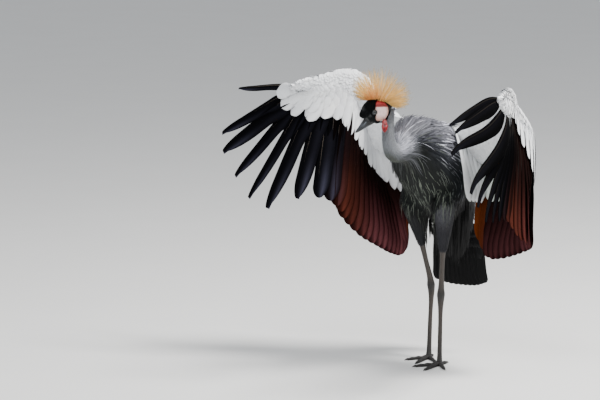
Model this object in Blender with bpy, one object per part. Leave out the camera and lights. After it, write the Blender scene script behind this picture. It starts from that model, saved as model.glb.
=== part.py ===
"""Grey crowned crane as a still, life-size museum model.

The bird stands on both feet, the body pitched down to the tail, the neck folded low, the head
turned to its right and both wings held open. Frame: the bird faces -Y, its left side is +X,
+Z is up, the floor is z = 0. Lengths are metres. Every feather, bristle and toe is made in a
loop from the sizes below and fused into the node that it grows from.
"""

import math
import random

import bmesh
import bpy
import numpy as np
from mathutils import Vector

# Placing of the finished bird: the bird is modelled around the point between its feet.
SHIFT = (0.155, 0.187, 0.0)
GAP = 0.0003
SEED = 7

# Torso: path from the neck root to the rump (y, z), half width and half depth at each place.
TORSO_PATH = ((-0.215, 0.655), (-0.195, 0.655), (-0.150, 0.645), (-0.090, 0.618), (-0.030, 0.583),
              (0.025, 0.540), (0.070, 0.490), (0.105, 0.437), (0.122, 0.400), (0.130, 0.382))
TORSO_HALF_WIDTH = (0.020, 0.044, 0.074, 0.094, 0.100, 0.097, 0.084, 0.060, 0.038, 0.016)
TORSO_HALF_DEPTH = (0.022, 0.046, 0.076, 0.100, 0.112, 0.108, 0.090, 0.060, 0.034, 0.014)
TORSO_SIDES = 16

# Neck: centre path from inside the torso to the back of the head, with its radius.
NECK_PATH = ((0.0, -0.150, 0.665), (-0.001, -0.200, 0.645), (-0.005, -0.243, 0.630),
             (-0.013, -0.272, 0.640), (-0.020, -0.290, 0.668), (-0.026, -0.291, 0.702),
             (-0.029, -0.285, 0.735))
NECK_RADIUS = (0.060, 0.046, 0.030, 0.0225, 0.0190, 0.0175, 0.0165)
NECK_SIDES = 12

# Head: centre, the way that the bill points and the way that the crown points.
HEAD_CENTRE = (-0.035, -0.304, 0.752)
BILL_YAW = math.radians(62.0)
BILL_PITCH = math.radians(49.0)
HEAD_FORWARD = (-0.037, -0.030, -0.014, 0.004, 0.020, 0.032, 0.0385)
HEAD_RISE = (-0.012, -0.008, 0.000, 0.005, 0.009, 0.012, 0.012)
HEAD_HALF_HEIGHT = (0.010, 0.021, 0.030, 0.032, 0.0285, 0.021, 0.011)
HEAD_HALF_WIDTH = (0.008, 0.017, 0.0245, 0.026, 0.023, 0.0165, 0.009)
HEAD_SIDES = 12
EYE_AT = (0.006, 0.0015)
EYE_RADIUS = 0.0062
LID_THICK = 0.0014
BILL_LENGTH = 0.050
BILL_START = 0.030
BILL_HALF_HEIGHT = 0.0155
BILL_HALF_WIDTH = 0.0098
NOSTRIL_LENGTH = 0.0085
WATTLE_LENGTH = 0.030

# Crest: golden bristles in a fan from the back of the crown.
CREST_BRISTLES = 92
CREST_LENGTH = 0.094
CREST_ROOT_RADIUS = 0.0011
CREST_LEAN = 102.0
CREST_SWAY = 62.0

# Legs: floor point under each ankle, ankle, knee and hip, left side then right side.
FOOT_LEFT = (0.036, -0.040)
FOOT_RIGHT = (-0.036, 0.040)
ANKLE_LEFT = (0.030, -0.020, 0.202)
ANKLE_RIGHT = (-0.043, 0.070, 0.212)
KNEE_LEFT = (0.060, -0.062, 0.450)
KNEE_RIGHT = (-0.062, -0.012, 0.447)
HIP_LEFT = (0.050, 0.000, 0.520)
HIP_RIGHT = (-0.052, 0.020, 0.515)
THIGH_RADIUS = (0.044, 0.036, 0.0315, 0.023, 0.0135)
SHANK_RADIUS = 0.0072
ANKLE_RADIUS = 0.0112
TARSUS_RADIUS = 0.0066
LEG_SIDES = 10
TOE_LENGTHS = (0.066, 0.086, 0.072, 0.036)
TOE_ANGLES = (-38.0, 2.0, 42.0, 188.0)
TOE_RADIUS = 0.0060
CLAW_LENGTH = 0.013

# Wings. A feather's place is its number counted from the outermost primary: 0 to 9 grow on the
# hand, 10 to 27 on the arm. Roots follow the bones, edges follow the fold of skin ahead of them.
HAND_END = 9.5
FLIGHT_COUNT = 28
ROOT_PLACES = (-0.5, 9.5, 23.0, 28.5)
ROOTS_LEFT = ((0.314, -0.258, 0.797), (0.262, -0.118, 0.790), (0.238, 0.045, 0.628),
              (0.092, 0.058, 0.602))
ROOTS_RIGHT = ((-0.374, -0.128, 0.769), (-0.245, -0.065, 0.795), (-0.207, 0.056, 0.626),
               (-0.092, 0.058, 0.602))
EDGE_PLACES = (-0.5, 4.5, 9.5, 19.0, 28.5)
EDGES_LEFT = ((0.316, -0.268, 0.805), (0.290, -0.195, 0.815), (0.258, -0.125, 0.812),
              (0.165, -0.058, 0.722), (0.070, -0.030, 0.680))
EDGES_RIGHT = ((-0.388, -0.135, 0.783), (-0.310, -0.100, 0.812), (-0.242, -0.068, 0.828),
               (-0.150, -0.025, 0.757), (-0.070, -0.050, 0.690))
TIP_PLACES = (0, 1, 2, 3, 4, 5, 6, 7, 9, 11, 14, 17, 20, 23, 25, 27)
TIPS_LEFT = ((0.305, -0.549, 0.765), (0.330, -0.568, 0.737), (0.318, -0.558, 0.682),
             (0.342, -0.512, 0.585), (0.345, -0.450, 0.525), (0.333, -0.376, 0.476),
             (0.325, -0.312, 0.465), (0.316, -0.250, 0.460), (0.303, -0.163, 0.446),
             (0.315, -0.130, 0.405), (0.334, -0.088, 0.371), (0.313, -0.057, 0.354),
             (0.262, -0.040, 0.333), (0.205, -0.028, 0.317), (0.172, -0.018, 0.318),
             (0.150, -0.020, 0.362))
TIPS_RIGHT = ((-0.639, 0.001, 0.749), (-0.655, -0.066, 0.622), (-0.639, -0.085, 0.574),
              (-0.586, -0.105, 0.505), (-0.500, -0.175, 0.456), (-0.425, -0.195, 0.437),
              (-0.345, -0.166, 0.468), (-0.297, -0.141, 0.471), (-0.247, -0.121, 0.449),
              (-0.232, -0.106, 0.412), (-0.197, -0.068, 0.359), (-0.164, -0.026, 0.327),
              (-0.139, 0.012, 0.303), (-0.124, 0.046, 0.296), (-0.118, 0.058, 0.318),
              (-0.118, 0.060, 0.360))
BOW_PLACES = (0, 1.5, 4, 9, 13, 18, 23, 27)
BOWS_LEFT = ((0, 0, 0.020), (0, 0, 0.006), (0.010, 0.006, -0.004), (0.016, 0.010, 0),
             (0.014, 0.008, 0), (0.012, 0.010, 0), (0.000, 0.012, 0), (0, 0.010, 0))
BOWS_RIGHT = ((0, 0, 0.010), (0, 0, 0.006), (-0.006, 0.004, 0.004), (-0.004, 0.006, 0),
              (-0.004, 0.010, 0), (-0.004, 0.012, 0), (-0.006, 0.012, 0), (-0.004, 0.010, 0))
WIDTH_PLACES = (0, 1, 3, 6, 10, 20, 27)
HALF_WIDTHS = (0.0095, 0.0145, 0.0180, 0.0220, 0.0250, 0.0250, 0.0220)
VANE_THICK = 0.0010
TIER_RISE = 0.0066
THICK_PLACES = (-0.5, 4.0, 9.5, 16.0, 23.0, 28.5)
CORE_HALF_THICK = (0.0060, 0.0105, 0.0130, 0.0145, 0.0170, 0.0220)
CORE_BACK = 0.028

# Tail: a fan of feathers counted from the bird's left.
TAIL_FEATHERS = 12
TAIL_ROOT_PLACES = (-0.5, 5.5, 11.5)
TAIL_ROOTS = ((0.026, 0.132, 0.398), (0.0, 0.136, 0.400), (-0.026, 0.132, 0.398))
TAIL_EDGES = ((0.018, 0.108, 0.440), (0.0, 0.110, 0.442), (-0.018, 0.108, 0.440))
TAIL_TIP_PLACES = (0, 2.5, 5.5, 8.5, 11)
TAIL_TIPS = ((0.076, 0.178, 0.208), (0.044, 0.189, 0.197), (0.0, 0.193, 0.194),
             (-0.044, 0.189, 0.197), (-0.076, 0.178, 0.208))
TAIL_BOW = (0.0, 0.010, 0.004)
TAIL_HALF_WIDTH = 0.0150
TAIL_HALF_THICK = 0.0125

# Long pale plumes that hang over the breast and flanks.
PLUMES = 36
PLUME_LENGTH = 0.125
PLUME_HALF_WIDTH = 0.0075

COLLECTION = "grey_crowned_crane"


def smooth(knots, values, at):
    """Read a smooth curve through named values.

    Args:
        knots: rising places of the values.
        values: one value or point for each place.
        at: places to read.

    Returns:
        The values at those places, as an array.
    """
    knots = np.asarray(knots, float)
    values = np.asarray(values, float)
    flat = values.reshape(len(knots), -1)
    at = np.asarray(at, float)
    steps = np.diff(knots)[:, None]
    slopes = np.diff(flat, axis=0) / steps
    tangents = np.empty_like(flat)
    tangents[0] = slopes[0]
    tangents[-1] = slopes[-1]
    tangents[1:-1] = (slopes[:-1] * steps[1:] + slopes[1:] * steps[:-1]) / (steps[1:] + steps[:-1])
    index = np.clip(np.searchsorted(knots, at.ravel(), side="right") - 1, 0, len(knots) - 2)
    span = np.diff(knots)[index][:, None]
    t = ((at.ravel() - knots[index])[:, None]) / span
    p0, p1 = flat[index], flat[index + 1]
    m0, m1 = tangents[index] * span, tangents[index + 1] * span
    out = ((2 * t**3 - 3 * t**2 + 1) * p0 + (t**3 - 2 * t**2 + t) * m0
           + (3 * t**2 - 2 * t**3) * p1 + (t**3 - t**2) * m1)
    return out.reshape(at.shape + values.shape[1:])


def unit(vectors):
    """Scale vectors to length one.

    Args:
        vectors: array whose last axis holds x, y, z.

    Returns:
        The unit vectors.
    """
    vectors = np.asarray(vectors, float)
    return vectors / np.maximum(np.linalg.norm(vectors, axis=-1, keepdims=True), 1e-12)


def mesh_object(name, points, faces):
    """Make an object from points and faces, split into triangles and turned outward.

    Args:
        name: object name.
        points: array of points.
        faces: lists of point numbers.

    Returns:
        The new object, linked to the scene.
    """
    mesh = bpy.data.meshes.new(name)
    mesh.from_pydata([tuple(p) for p in points], [], [tuple(f) for f in faces])
    mesh.validate()
    shape = bmesh.new()
    shape.from_mesh(mesh)
    bmesh.ops.triangulate(shape, faces=[f for f in shape.faces if len(f.verts) > 3])
    if shape.calc_volume(signed=True) < 0:
        bmesh.ops.reverse_faces(shape, faces=shape.faces)
    shape.to_mesh(mesh)
    shape.free()
    thing = bpy.data.objects.new(name, mesh)
    bpy.context.scene.collection.objects.link(thing)
    return thing


def loft(name, rings, tip=None):
    """Join unlike sections into one closed solid.

    Both halves of a section are split into triangles alike, so that a thin vane's two faces
    stay parallel where it bends.

    Args:
        name: object name.
        rings: array of sections, each the same number of points.
        tip: point that closes the far end, or None for a flat end.

    Returns:
        The new object.
    """
    rings = np.asarray(rings, float)
    count, sides = rings.shape[:2]
    points = list(rings.reshape(-1, 3))
    faces = [list(range(sides))[::-1]]
    for i in range(count - 1):
        for j in range(sides):
            a, b = i * sides + j, i * sides + (j + 1) % sides
            c, d = b + sides, a + sides
            if j < sides / 2:
                faces += [[a, b, c], [a, c, d]]
            else:
                faces += [[a, b, d], [b, c, d]]
    last = (count - 1) * sides
    if tip is None:
        faces.append([last + j for j in range(sides)])
    else:
        points.append(np.asarray(tip, float))
        faces += [[last + j, last + (j + 1) % sides, len(points) - 1] for j in range(sides)]
    return mesh_object(name, points, faces)


def tube_rings(path, radii, sides, squash=None, up=(0.0, 0.0, 1.0)):
    """Work out round sections along a path.

    Args:
        path: array of centre points.
        radii: half size across the path at each point.
        sides: points in each section.
        squash: half size along the up side, or None for a round section.
        up: direction that fixes how the sections are turned.

    Returns:
        Array of sections.
    """
    path = np.asarray(path, float)
    radii = np.asarray(radii, float)
    squash = radii if squash is None else np.asarray(squash, float)
    along = unit(np.gradient(path, axis=0))
    across = unit(np.cross(along, np.asarray(up, float)))
    rise = np.cross(across, along)
    turn = np.linspace(0.0, 2.0 * math.pi, sides, endpoint=False)
    return (path[:, None] + across[:, None] * (np.cos(turn)[None, :, None] * radii[:, None, None])
            + rise[:, None] * (np.sin(turn)[None, :, None] * squash[:, None, None]))


def vane_rings(centres, across, half_widths, thick):
    """Work out the thin four-cornered sections of a feather vane.

    Args:
        centres: points along the shaft.
        across: unit vectors across the vane.
        half_widths: half width at each point.
        thick: thickness of the vane.

    Returns:
        Array of sections.
    """
    centres = np.asarray(centres, float)
    along = unit(np.gradient(centres, axis=0))
    across = unit(across - along * np.sum(across * along, axis=-1, keepdims=True))
    normal = np.cross(along, across)
    wide = across * np.asarray(half_widths, float)[:, None]
    half = normal * (thick / 2.0)
    return np.stack([centres - wide + half, centres + wide + half,
                     centres + wide - half, centres - wide - half], axis=1)


def largest_body(thing):
    """Keep only the largest closed surface of a mesh object.

    Args:
        thing: mesh object.
    """
    shape = bmesh.new()
    shape.from_mesh(thing.data)
    bmesh.ops.triangulate(shape, faces=[f for f in shape.faces if len(f.verts) > 3])
    seen, bodies = set(), []
    for start in shape.faces:
        if start in seen:
            continue
        seen.add(start)
        body, queue = [], [start]
        while queue:
            face = queue.pop()
            body.append(face)
            for edge in face.edges:
                for other in edge.link_faces:
                    if other not in seen:
                        seen.add(other)
                        queue.append(other)
        volume = sum(f.verts[0].co.dot(f.verts[1].co.cross(f.verts[2].co)) for f in body) / 6.0
        bodies.append((volume, body))
    bodies.sort(key=lambda pair: -pair[0])
    scrap = [f for volume, body in bodies[1:] for f in body]
    if scrap:
        bmesh.ops.delete(shape, geom=scrap, context="FACES")
    shape.to_mesh(thing.data)
    shape.free()


def combine(thing, pieces, operation="UNION", solver="MANIFOLD"):
    """Fuse pieces into an object, or cut them out of it, with one Boolean.

    Args:
        thing: closed mesh object that stays.
        pieces: closed mesh objects, removed afterwards.
        operation: UNION or DIFFERENCE.
        solver: Boolean solver.

    Returns:
        The object that stays.
    """
    group = bpy.data.collections.new("boolean_pieces")
    for piece in pieces:
        group.objects.link(piece)
    boolean = thing.modifiers.new("fuse", "BOOLEAN")
    boolean.operation = operation
    boolean.operand_type = "COLLECTION"
    boolean.collection = group
    boolean.solver = solver
    bpy.context.view_layer.update()
    graph = bpy.context.evaluated_depsgraph_get()
    mesh = bpy.data.meshes.new_from_object(thing.evaluated_get(graph))
    thing.modifiers.clear()
    old = thing.data
    thing.data = mesh
    bpy.data.meshes.remove(old)
    for piece in pieces:
        bpy.data.objects.remove(piece)
    bpy.data.collections.remove(group)
    largest_body(thing)
    return thing


def swollen(thing, by=GAP):
    """Copy an object and push its surface outward, to cut a neighbour with a gap.

    Args:
        thing: mesh object.
        by: distance.

    Returns:
        The copy.
    """
    copy = thing.copy()
    copy.data = thing.data.copy()
    bpy.context.scene.collection.objects.link(copy)
    shape = bmesh.new()
    shape.from_mesh(copy.data)
    shape.normal_update()
    moves = [v.normal.copy() for v in shape.verts]
    for vert, move in zip(shape.verts, moves):
        vert.co += move * by
    shape.to_mesh(copy.data)
    shape.free()
    return copy


def node(thing, name, colour, roughness=0.7):
    """Name a finished node, give it its own material and set it in the bird's collection.

    Args:
        thing: mesh object.
        name: node name.
        colour: red, green, blue.
        roughness: surface roughness.

    Returns:
        The object.
    """
    thing.name = name
    thing.data.name = name
    material = bpy.data.materials.new(name)
    material.use_nodes = True
    shader = material.node_tree.nodes["Principled BSDF"]
    shader.inputs["Base Color"].default_value = (*colour, 1.0)
    shader.inputs["Roughness"].default_value = roughness
    thing.data.materials.clear()
    thing.data.materials.append(material)
    for group in list(thing.users_collection):
        group.objects.unlink(thing)
    bpy.data.collections[COLLECTION].objects.link(thing)
    return thing


def torso_surface(place, turn, lift=0.0):
    """Read a point on the torso, raised above it.

    Args:
        place: 0 at the neck root to 1 at the rump.
        turn: angle round the body, 0 on the left side, a quarter turn on the back.
        lift: height above the surface.

    Returns:
        The point and the outward direction there.
    """
    knots = np.linspace(0.0, 1.0, len(TORSO_PATH))
    centre = smooth(knots, TORSO_PATH, place)
    ahead = smooth(knots, TORSO_PATH, min(place + 0.01, 1.0))
    behind = smooth(knots, TORSO_PATH, max(place - 0.01, 0.0))
    along = unit(ahead - behind)
    wide = float(smooth(knots, TORSO_HALF_WIDTH, place)) + lift
    deep = float(smooth(knots, TORSO_HALF_DEPTH, place)) + lift
    rise = np.array([0.0, -along[1], along[0]])
    spot = np.array([0.0, centre[0], centre[1]])
    out = np.array([math.cos(turn) / wide, 0, 0]) + rise * math.sin(turn) / deep
    return spot + np.array([wide * math.cos(turn), 0, 0]) + rise * deep * math.sin(turn), unit(out)


def make_torso():
    """Loft the plain body.

    Returns:
        The torso object, before its plumes.
    """
    path = np.array([(0.0, y, z) for y, z in TORSO_PATH])
    rings = tube_rings(path, TORSO_HALF_WIDTH, TORSO_SIDES, TORSO_HALF_DEPTH)
    return loft("torso", rings)


def clear_of_legs(points, spare):
    """Push points out of the feathered thighs.

    Args:
        points: array of points.
        spare: clearance kept from the thigh.

    Returns:
        The moved points.
    """
    points = np.array(points)
    for ankle, knee, hip in ((ANKLE_LEFT, KNEE_LEFT, HIP_LEFT),
                             (ANKLE_RIGHT, KNEE_RIGHT, HIP_RIGHT)):
        path, radii = thigh_path(ankle, knee, hip)
        share = np.linspace(0.0, 1.0, 60)
        knots = np.linspace(0.0, 1.0, len(path))
        line = np.stack([np.interp(share, knots, path[:, i]) for i in range(3)], axis=1)
        girth = np.interp(share, knots, radii) * 1.08 + spare
        away = points[:, None] - line[None]
        far = np.linalg.norm(away, axis=-1)
        worst = np.argmin(far - girth, axis=1)
        for i, j in enumerate(worst):
            if far[i, j] < girth[j]:
                points[i] = line[j] + away[i, j] / far[i, j] * girth[j]
    return points


def thigh_path(ankle, knee, hip):
    """Work out the middle line and radius of a feathered thigh.

    Args:
        ankle: ankle point.
        knee: knee point.
        hip: hip point inside the torso.

    Returns:
        The line's points and the radius at each.
    """
    ankle, knee, hip = np.array(ankle), np.array(knee), np.array(hip)
    bare = ankle + (knee - ankle) * 0.54
    return np.array([hip, knee + (hip - knee) * 0.35, knee, (knee + bare) / 2, bare]), THIGH_RADIUS


def plume_pieces(draw):
    """Make the long plumes over the breast and flanks.

    Args:
        draw: seeded random generator.

    Returns:
        List of closed vanes.
    """
    pieces = []
    rows = np.array([0.0, 0.3, 0.65, 1.0])
    widths = np.array([0.5, 1.0, 0.8, 0.12]) * PLUME_HALF_WIDTH
    for i in range(PLUMES):
        share = (i + 0.5) / PLUMES
        turn = math.radians(-90.0 + 250.0 * (share - 0.5) + draw.uniform(-3, 3))
        ring = i % 2
        start = 0.22 + 0.16 * ring + draw.uniform(-0.02, 0.02)
        start += 0.10 * abs(share - 0.5) * 2
        reach = PLUME_LENGTH * draw.uniform(0.85, 1.1) * (1.0 - 0.25 * ring)
        points = []
        for row in rows:
            lift = -0.004 + 0.010 * row**0.5 + 0.012 * row
            spot, out = torso_surface(start + reach * row / 0.50, turn, lift)
            sag = np.array([0.0, 0.0, -0.018 * row**2])
            points.append(spot + sag)
        points = clear_of_legs(points, PLUME_HALF_WIDTH * 0.6)
        along = unit(points[-1] - points[0])
        across = unit(np.cross(along, out))
        pieces.append(loft("plume", vane_rings(points, np.tile(across, (4, 1)), widths, 0.0012)))
    return pieces


def head_axes():
    """Work out the head's own directions.

    Returns:
        Array of the forward, crown and left directions.
    """
    flat = np.array([-math.sin(BILL_YAW), -math.cos(BILL_YAW), 0.0])
    upright = np.array([0.0, 0.0, 1.0])
    forward = flat * math.cos(BILL_PITCH) - upright * math.sin(BILL_PITCH)
    crown = flat * math.sin(BILL_PITCH) + upright * math.cos(BILL_PITCH)
    return np.array([forward, crown, np.cross(crown, forward)])


def head_point(forward, rise, side=0.0):
    """Turn a place in the head's own directions into a point.

    Args:
        forward: distance towards the bill.
        rise: distance towards the crown.
        side: distance to the bird's left.

    Returns:
        The point.
    """
    return np.array(HEAD_CENTRE) + np.array([forward, rise, side]) @ head_axes()


def head_rings(forward, rise, half_height, half_width, sides):
    """Work out sections across the head.

    Args:
        forward: distance of each section towards the bill.
        rise: height of its centre.
        half_height: half height.
        half_width: half width.
        sides: points in each section.

    Returns:
        Array of sections.
    """
    turn = np.linspace(0.0, 2.0 * math.pi, sides, endpoint=False)
    local = np.stack([np.repeat(np.asarray(forward)[:, None], sides, axis=1),
                      np.asarray(rise)[:, None] + np.sin(turn) * np.asarray(half_height)[:, None],
                      np.cos(turn) * np.asarray(half_width)[:, None]], axis=-1)
    return np.array(HEAD_CENTRE) + local @ head_axes()


def ball(name, centre, radius, segments, rings, scale=(1, 1, 1), axes=None):
    """Make a ball or an egg shape.

    Args:
        name: object name.
        centre: centre point.
        radius: radius before scaling.
        segments: faces round the ball.
        rings: faces from pole to pole.
        scale: size along its own three directions.
        axes: its three directions, or None for the world's.

    Returns:
        The new object.
    """
    shape = bmesh.new()
    bmesh.ops.create_uvsphere(shape, u_segments=segments, v_segments=rings, radius=radius)
    turn = np.eye(3) if axes is None else np.asarray(axes, float)
    for vert in shape.verts:
        local = np.array(vert.co) * np.array(scale)
        vert.co = Vector(local @ turn + np.asarray(centre, float))
    points = [tuple(v.co) for v in shape.verts]
    faces = [[v.index for v in f.verts] for f in shape.faces]
    shape.free()
    return mesh_object(name, points, faces)


def make_head():
    """Make the head with its eyes, lids, bill, wattle and crest.

    Returns:
        Dictionary of finished objects by name.
    """
    axes = head_axes()
    made = {}
    head = loft("head", head_rings(HEAD_FORWARD, HEAD_RISE, HEAD_HALF_HEIGHT, HEAD_HALF_WIDTH,
                                   HEAD_SIDES))
    plain = swollen(head, 0.0)
    side_at = float(np.interp(EYE_AT[0], HEAD_FORWARD, HEAD_HALF_WIDTH)) - 0.0022
    lids, sockets = [], []
    for side, label in ((1, "left"), (-1, "right")):
        centre = head_point(EYE_AT[0], EYE_AT[1], side * side_at)
        made["eye_" + label] = ball("eye", centre, EYE_RADIUS, 10, 6, axes=axes)
        turn = np.linspace(0.0, 2.0 * math.pi, 10, endpoint=False)
        small = np.linspace(0.0, 2.0 * math.pi, 3, endpoint=False)
        major = EYE_RADIUS * 0.98
        local = np.stack([
            np.cos(turn)[:, None] * (major + LID_THICK * np.cos(small)),
            np.sin(turn)[:, None] * (major * 0.85 + LID_THICK * np.cos(small)),
            side * (0.0022 + 0 * turn[:, None] + LID_THICK * np.sin(small))], axis=-1)
        points = (centre + local @ axes).reshape(-1, 3)
        faces = [[i * 3 + j, ((i + 1) % 10) * 3 + j, ((i + 1) % 10) * 3 + (j + 1) % 3,
                  i * 3 + (j + 1) % 3] for i in range(10) for j in range(3)]
        lids.append(mesh_object("lid", points, faces))
        sockets.append(ball("socket", centre, EYE_RADIUS + GAP, 10, 6, axes=axes))
    combine(head, lids)
    combine(head, sockets, "DIFFERENCE")
    made["head"] = head

    share = np.array([0.0, 0.25, 0.5, 0.75, 0.93])
    forward = BILL_START + BILL_LENGTH * share
    height = BILL_HALF_HEIGHT * (1.0 - 0.80 * share**0.9)
    width = BILL_HALF_WIDTH * (1.0 - 0.86 * share)
    middle = -0.004 + 0.0055 * share
    mouth = middle - height * 0.30
    turn = np.linspace(0.0, math.pi, 6)
    for label, sign, tall in (("upper", 1.0, height * 1.30), ("lower", -1.0, height * 0.70)):
        local = np.stack([
            np.repeat(forward[:, None], 6, axis=1),
            mouth[:, None] + sign * (GAP / 2 + np.sin(turn) * tall[:, None]),
            sign * np.cos(turn) * width[:, None]], axis=-1)
        rings = np.array(HEAD_CENTRE) + local @ axes
        drop = -0.0035 if sign > 0 else 0.0
        end = head_point(BILL_START + BILL_LENGTH * (1.04 if sign > 0 else 1.0),
                         float(mouth[-1]) + sign * 0.0012 + drop * 0.5)
        beak = loft("bill_" + label, rings, tip=end)
        made["bill_" + label] = combine(beak, [swollen(plain)], "DIFFERENCE")
    nostrils = [ball("nostril", head_point(BILL_START + 0.0175, 0.0035, side * 0.0078), 1.0, 8, 6,
                     (NOSTRIL_LENGTH / 2, 0.0013, 0.0018), axes) for side in (1, -1)]
    combine(made["bill_upper"], nostrils, "DIFFERENCE")

    hang = unit(np.array([0.0, 0.0, -1.0]) + 0.42 * axes[2])
    top = head_point(0.004, -0.022, 0.012)
    share = np.array([0.0, 0.25, 0.55, 0.85])
    path = top + hang * (WATTLE_LENGTH * share)[:, None]
    rings = tube_rings(path, np.array([0.005, 0.0060, 0.0085, 0.0065]), 8,
                       np.array([0.0030, 0.0036, 0.0046, 0.0036]), up=axes[2])
    wattle = loft("wattle", rings, tip=top + hang * WATTLE_LENGTH)
    made["wattle"] = combine(wattle, [swollen(plain)], "DIFFERENCE")

    draw = random.Random(SEED)
    middle = head_point(-0.022, 0.010)
    back = unit(-0.88 * axes[0] + 0.475 * axes[1])
    slope = unit(0.475 * axes[0] + 0.88 * axes[1])
    base = ball("crest", middle, 1.0, 10, 6, (0.030, 0.012, 0.017),
                np.array([slope, back, axes[2]]))
    bristles = []
    golden = math.pi * (3.0 - math.sqrt(5.0))
    for i in range(CREST_BRISTLES):
        spread = math.sqrt((i + 0.5) / CREST_BRISTLES)
        angle = golden * i
        lean = math.radians(CREST_LEAN) * spread**0.8 * math.cos(angle)
        sway = math.radians(CREST_SWAY) * spread * math.sin(angle)
        way = unit(back * math.cos(lean) * math.cos(sway) + slope * math.sin(lean) * math.cos(sway)
                   + axes[2] * math.sin(sway))
        root = middle + slope * 0.024 * math.sin(lean) + axes[2] * 0.010 * math.sin(sway)
        length = CREST_LENGTH * draw.uniform(0.86, 1.05) * (1.0 - 0.10 * spread)
        droop = unit(way + slope * 0.10 * math.sin(lean)) * length * 0.5
        points = np.array([root, root + way * length * 0.5, root + way * length * 0.5 + droop])
        radii = CREST_ROOT_RADIUS * np.array([1.0, 0.62])
        side = unit(np.cross(way, axes[2] + 0.3 * slope))
        up = np.cross(side, way)
        turn = np.linspace(0.0, 2.0 * math.pi, 3, endpoint=False)
        rings = (points[:2, None] + side * (np.cos(turn)[None, :, None] * radii[:, None, None])
                 + up * (np.sin(turn)[None, :, None] * radii[:, None, None]))
        bristles.append(loft("bristle", rings, tip=points[2]))
    combine(base, bristles)
    made["crest"] = combine(base, [swollen(plain)], "DIFFERENCE")
    made["plain"] = plain
    return made


def make_neck(torso, head_plain):
    """Make the neck between torso and head.

    Args:
        torso: plain torso.
        head_plain: plain head.

    Returns:
        The neck object.
    """
    knots = np.linspace(0.0, 1.0, len(NECK_PATH))
    at = np.linspace(0.0, 1.0, 15)
    rings = tube_rings(smooth(knots, NECK_PATH, at), smooth(knots, NECK_RADIUS, at), NECK_SIDES,
                       up=(1.0, 0.0, 0.0))
    neck = loft("neck", rings)
    return combine(neck, [swollen(torso), swollen(head_plain)], "DIFFERENCE")


def leg_nodes(label, foot, ankle, knee, hip, torso):
    """Make one leg from thigh to claws.

    Args:
        label: left or right.
        foot: floor point under the leg.
        ankle: ankle point.
        knee: knee point.
        hip: hip point inside the torso.
        torso: plain torso.

    Returns:
        Dictionary of finished objects by name.
    """
    made = {}
    ankle, knee, hip = np.array(ankle), np.array(knee), np.array(hip)
    path, radii = thigh_path(ankle, knee, hip)
    bare = path[-1]
    along = unit(ankle - knee)
    thigh = loft("thigh", tube_rings(path, THIGH_RADIUS, LEG_SIDES + 2,
                                     np.array(THIGH_RADIUS) * 1.08, up=(0, -1, 0)))
    made["thigh_" + label] = combine(thigh, [swollen(torso)], "DIFFERENCE")

    low = ankle - along * 0.0
    share = np.array([0.0, 0.35, 0.80, 0.93, 1.0])
    start = bare + along * GAP
    path = start + (low + along * 0.004 - start) * share[:, None]
    radii = np.array([1.25, 1.0, 1.0, 1.25, 1.45]) * SHANK_RADIUS
    made["shank_" + label] = loft("shank", tube_rings(path, radii, LEG_SIDES, up=(0, -1, 0)))

    sole = np.array([foot[0], foot[1], 0.0])
    down = unit(sole - ankle)
    top = ankle + along * 0.0042
    floor_top = sole - down * 0.016
    share = np.array([0.0, 0.05, 0.12, 0.24, 0.6, 0.92, 1.0])
    path = top + (floor_top - top) * share[:, None]
    radii = np.array([0.92, 1.0, 0.92, 0.66, 0.58, 0.62, 0.70]) * ANKLE_RADIUS
    rings = tube_rings(path, radii, LEG_SIDES, up=(0, -1, 0))
    cap = tube_rings(np.array([top, top + along * 0.01]), radii[:2], LEG_SIDES, up=(0, -1, 0))[0]
    rings[0] = cap
    made["tarsus_" + label] = loft("tarsus", rings)

    hub = loft("foot", tube_rings(np.array([floor_top + down * GAP, floor_top + down * 0.006,
                                            sole + [0, 0, 0.004], sole]),
                                  np.array([0.0078, 0.0090, 0.0105, 0.0085]), LEG_SIDES,
                                  up=(0, -1, 0)))
    side = 1.0 if label == "left" else -1.0
    toes = []
    for number, (length, angle) in enumerate(zip(TOE_LENGTHS, TOE_ANGLES)):
        heading = math.radians(angle)
        way = np.array([math.sin(heading) * -side, -math.cos(heading), 0.0])
        cross = np.array([way[1], -way[0], 0.0])
        share = np.array([0.0, 0.32, 0.64, 1.0])
        girth = TOE_RADIUS * np.array([1.15, 0.90, 0.88, 0.60])
        turn = np.linspace(0.0, 2.0 * math.pi, 6, endpoint=False) + math.pi / 6
        centre = sole + way * (share * length)[:, None]
        rings = (centre[:, None] + cross * (np.cos(turn)[None, :, None] * girth[:, None, None])
                 + np.array([0, 0, 1.0]) * ((0.72 + np.sin(turn)[None, :, None])
                                            * girth[:, None, None] * 0.95))
        rings[:, :, 2] = np.maximum(rings[:, :, 2], 0.0)
        toes.append(loft("toe", rings))
        claw_girth = girth[-1] * np.array([0.80, 0.55])
        start = sole + way * (length + GAP) + [0, 0, 0.0042]
        points = np.array([start, start + way * CLAW_LENGTH * 0.5 + [0, 0, 0.0005]])
        rings = tube_rings(points, claw_girth, 6)
        tip = start + way * CLAW_LENGTH - np.array([0, 0, 0.0032])
        made["claw_%s_%d" % (label, number + 1)] = loft("claw", rings, tip=tip)
    made["foot_" + label] = combine(hub, toes)
    return made


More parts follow.
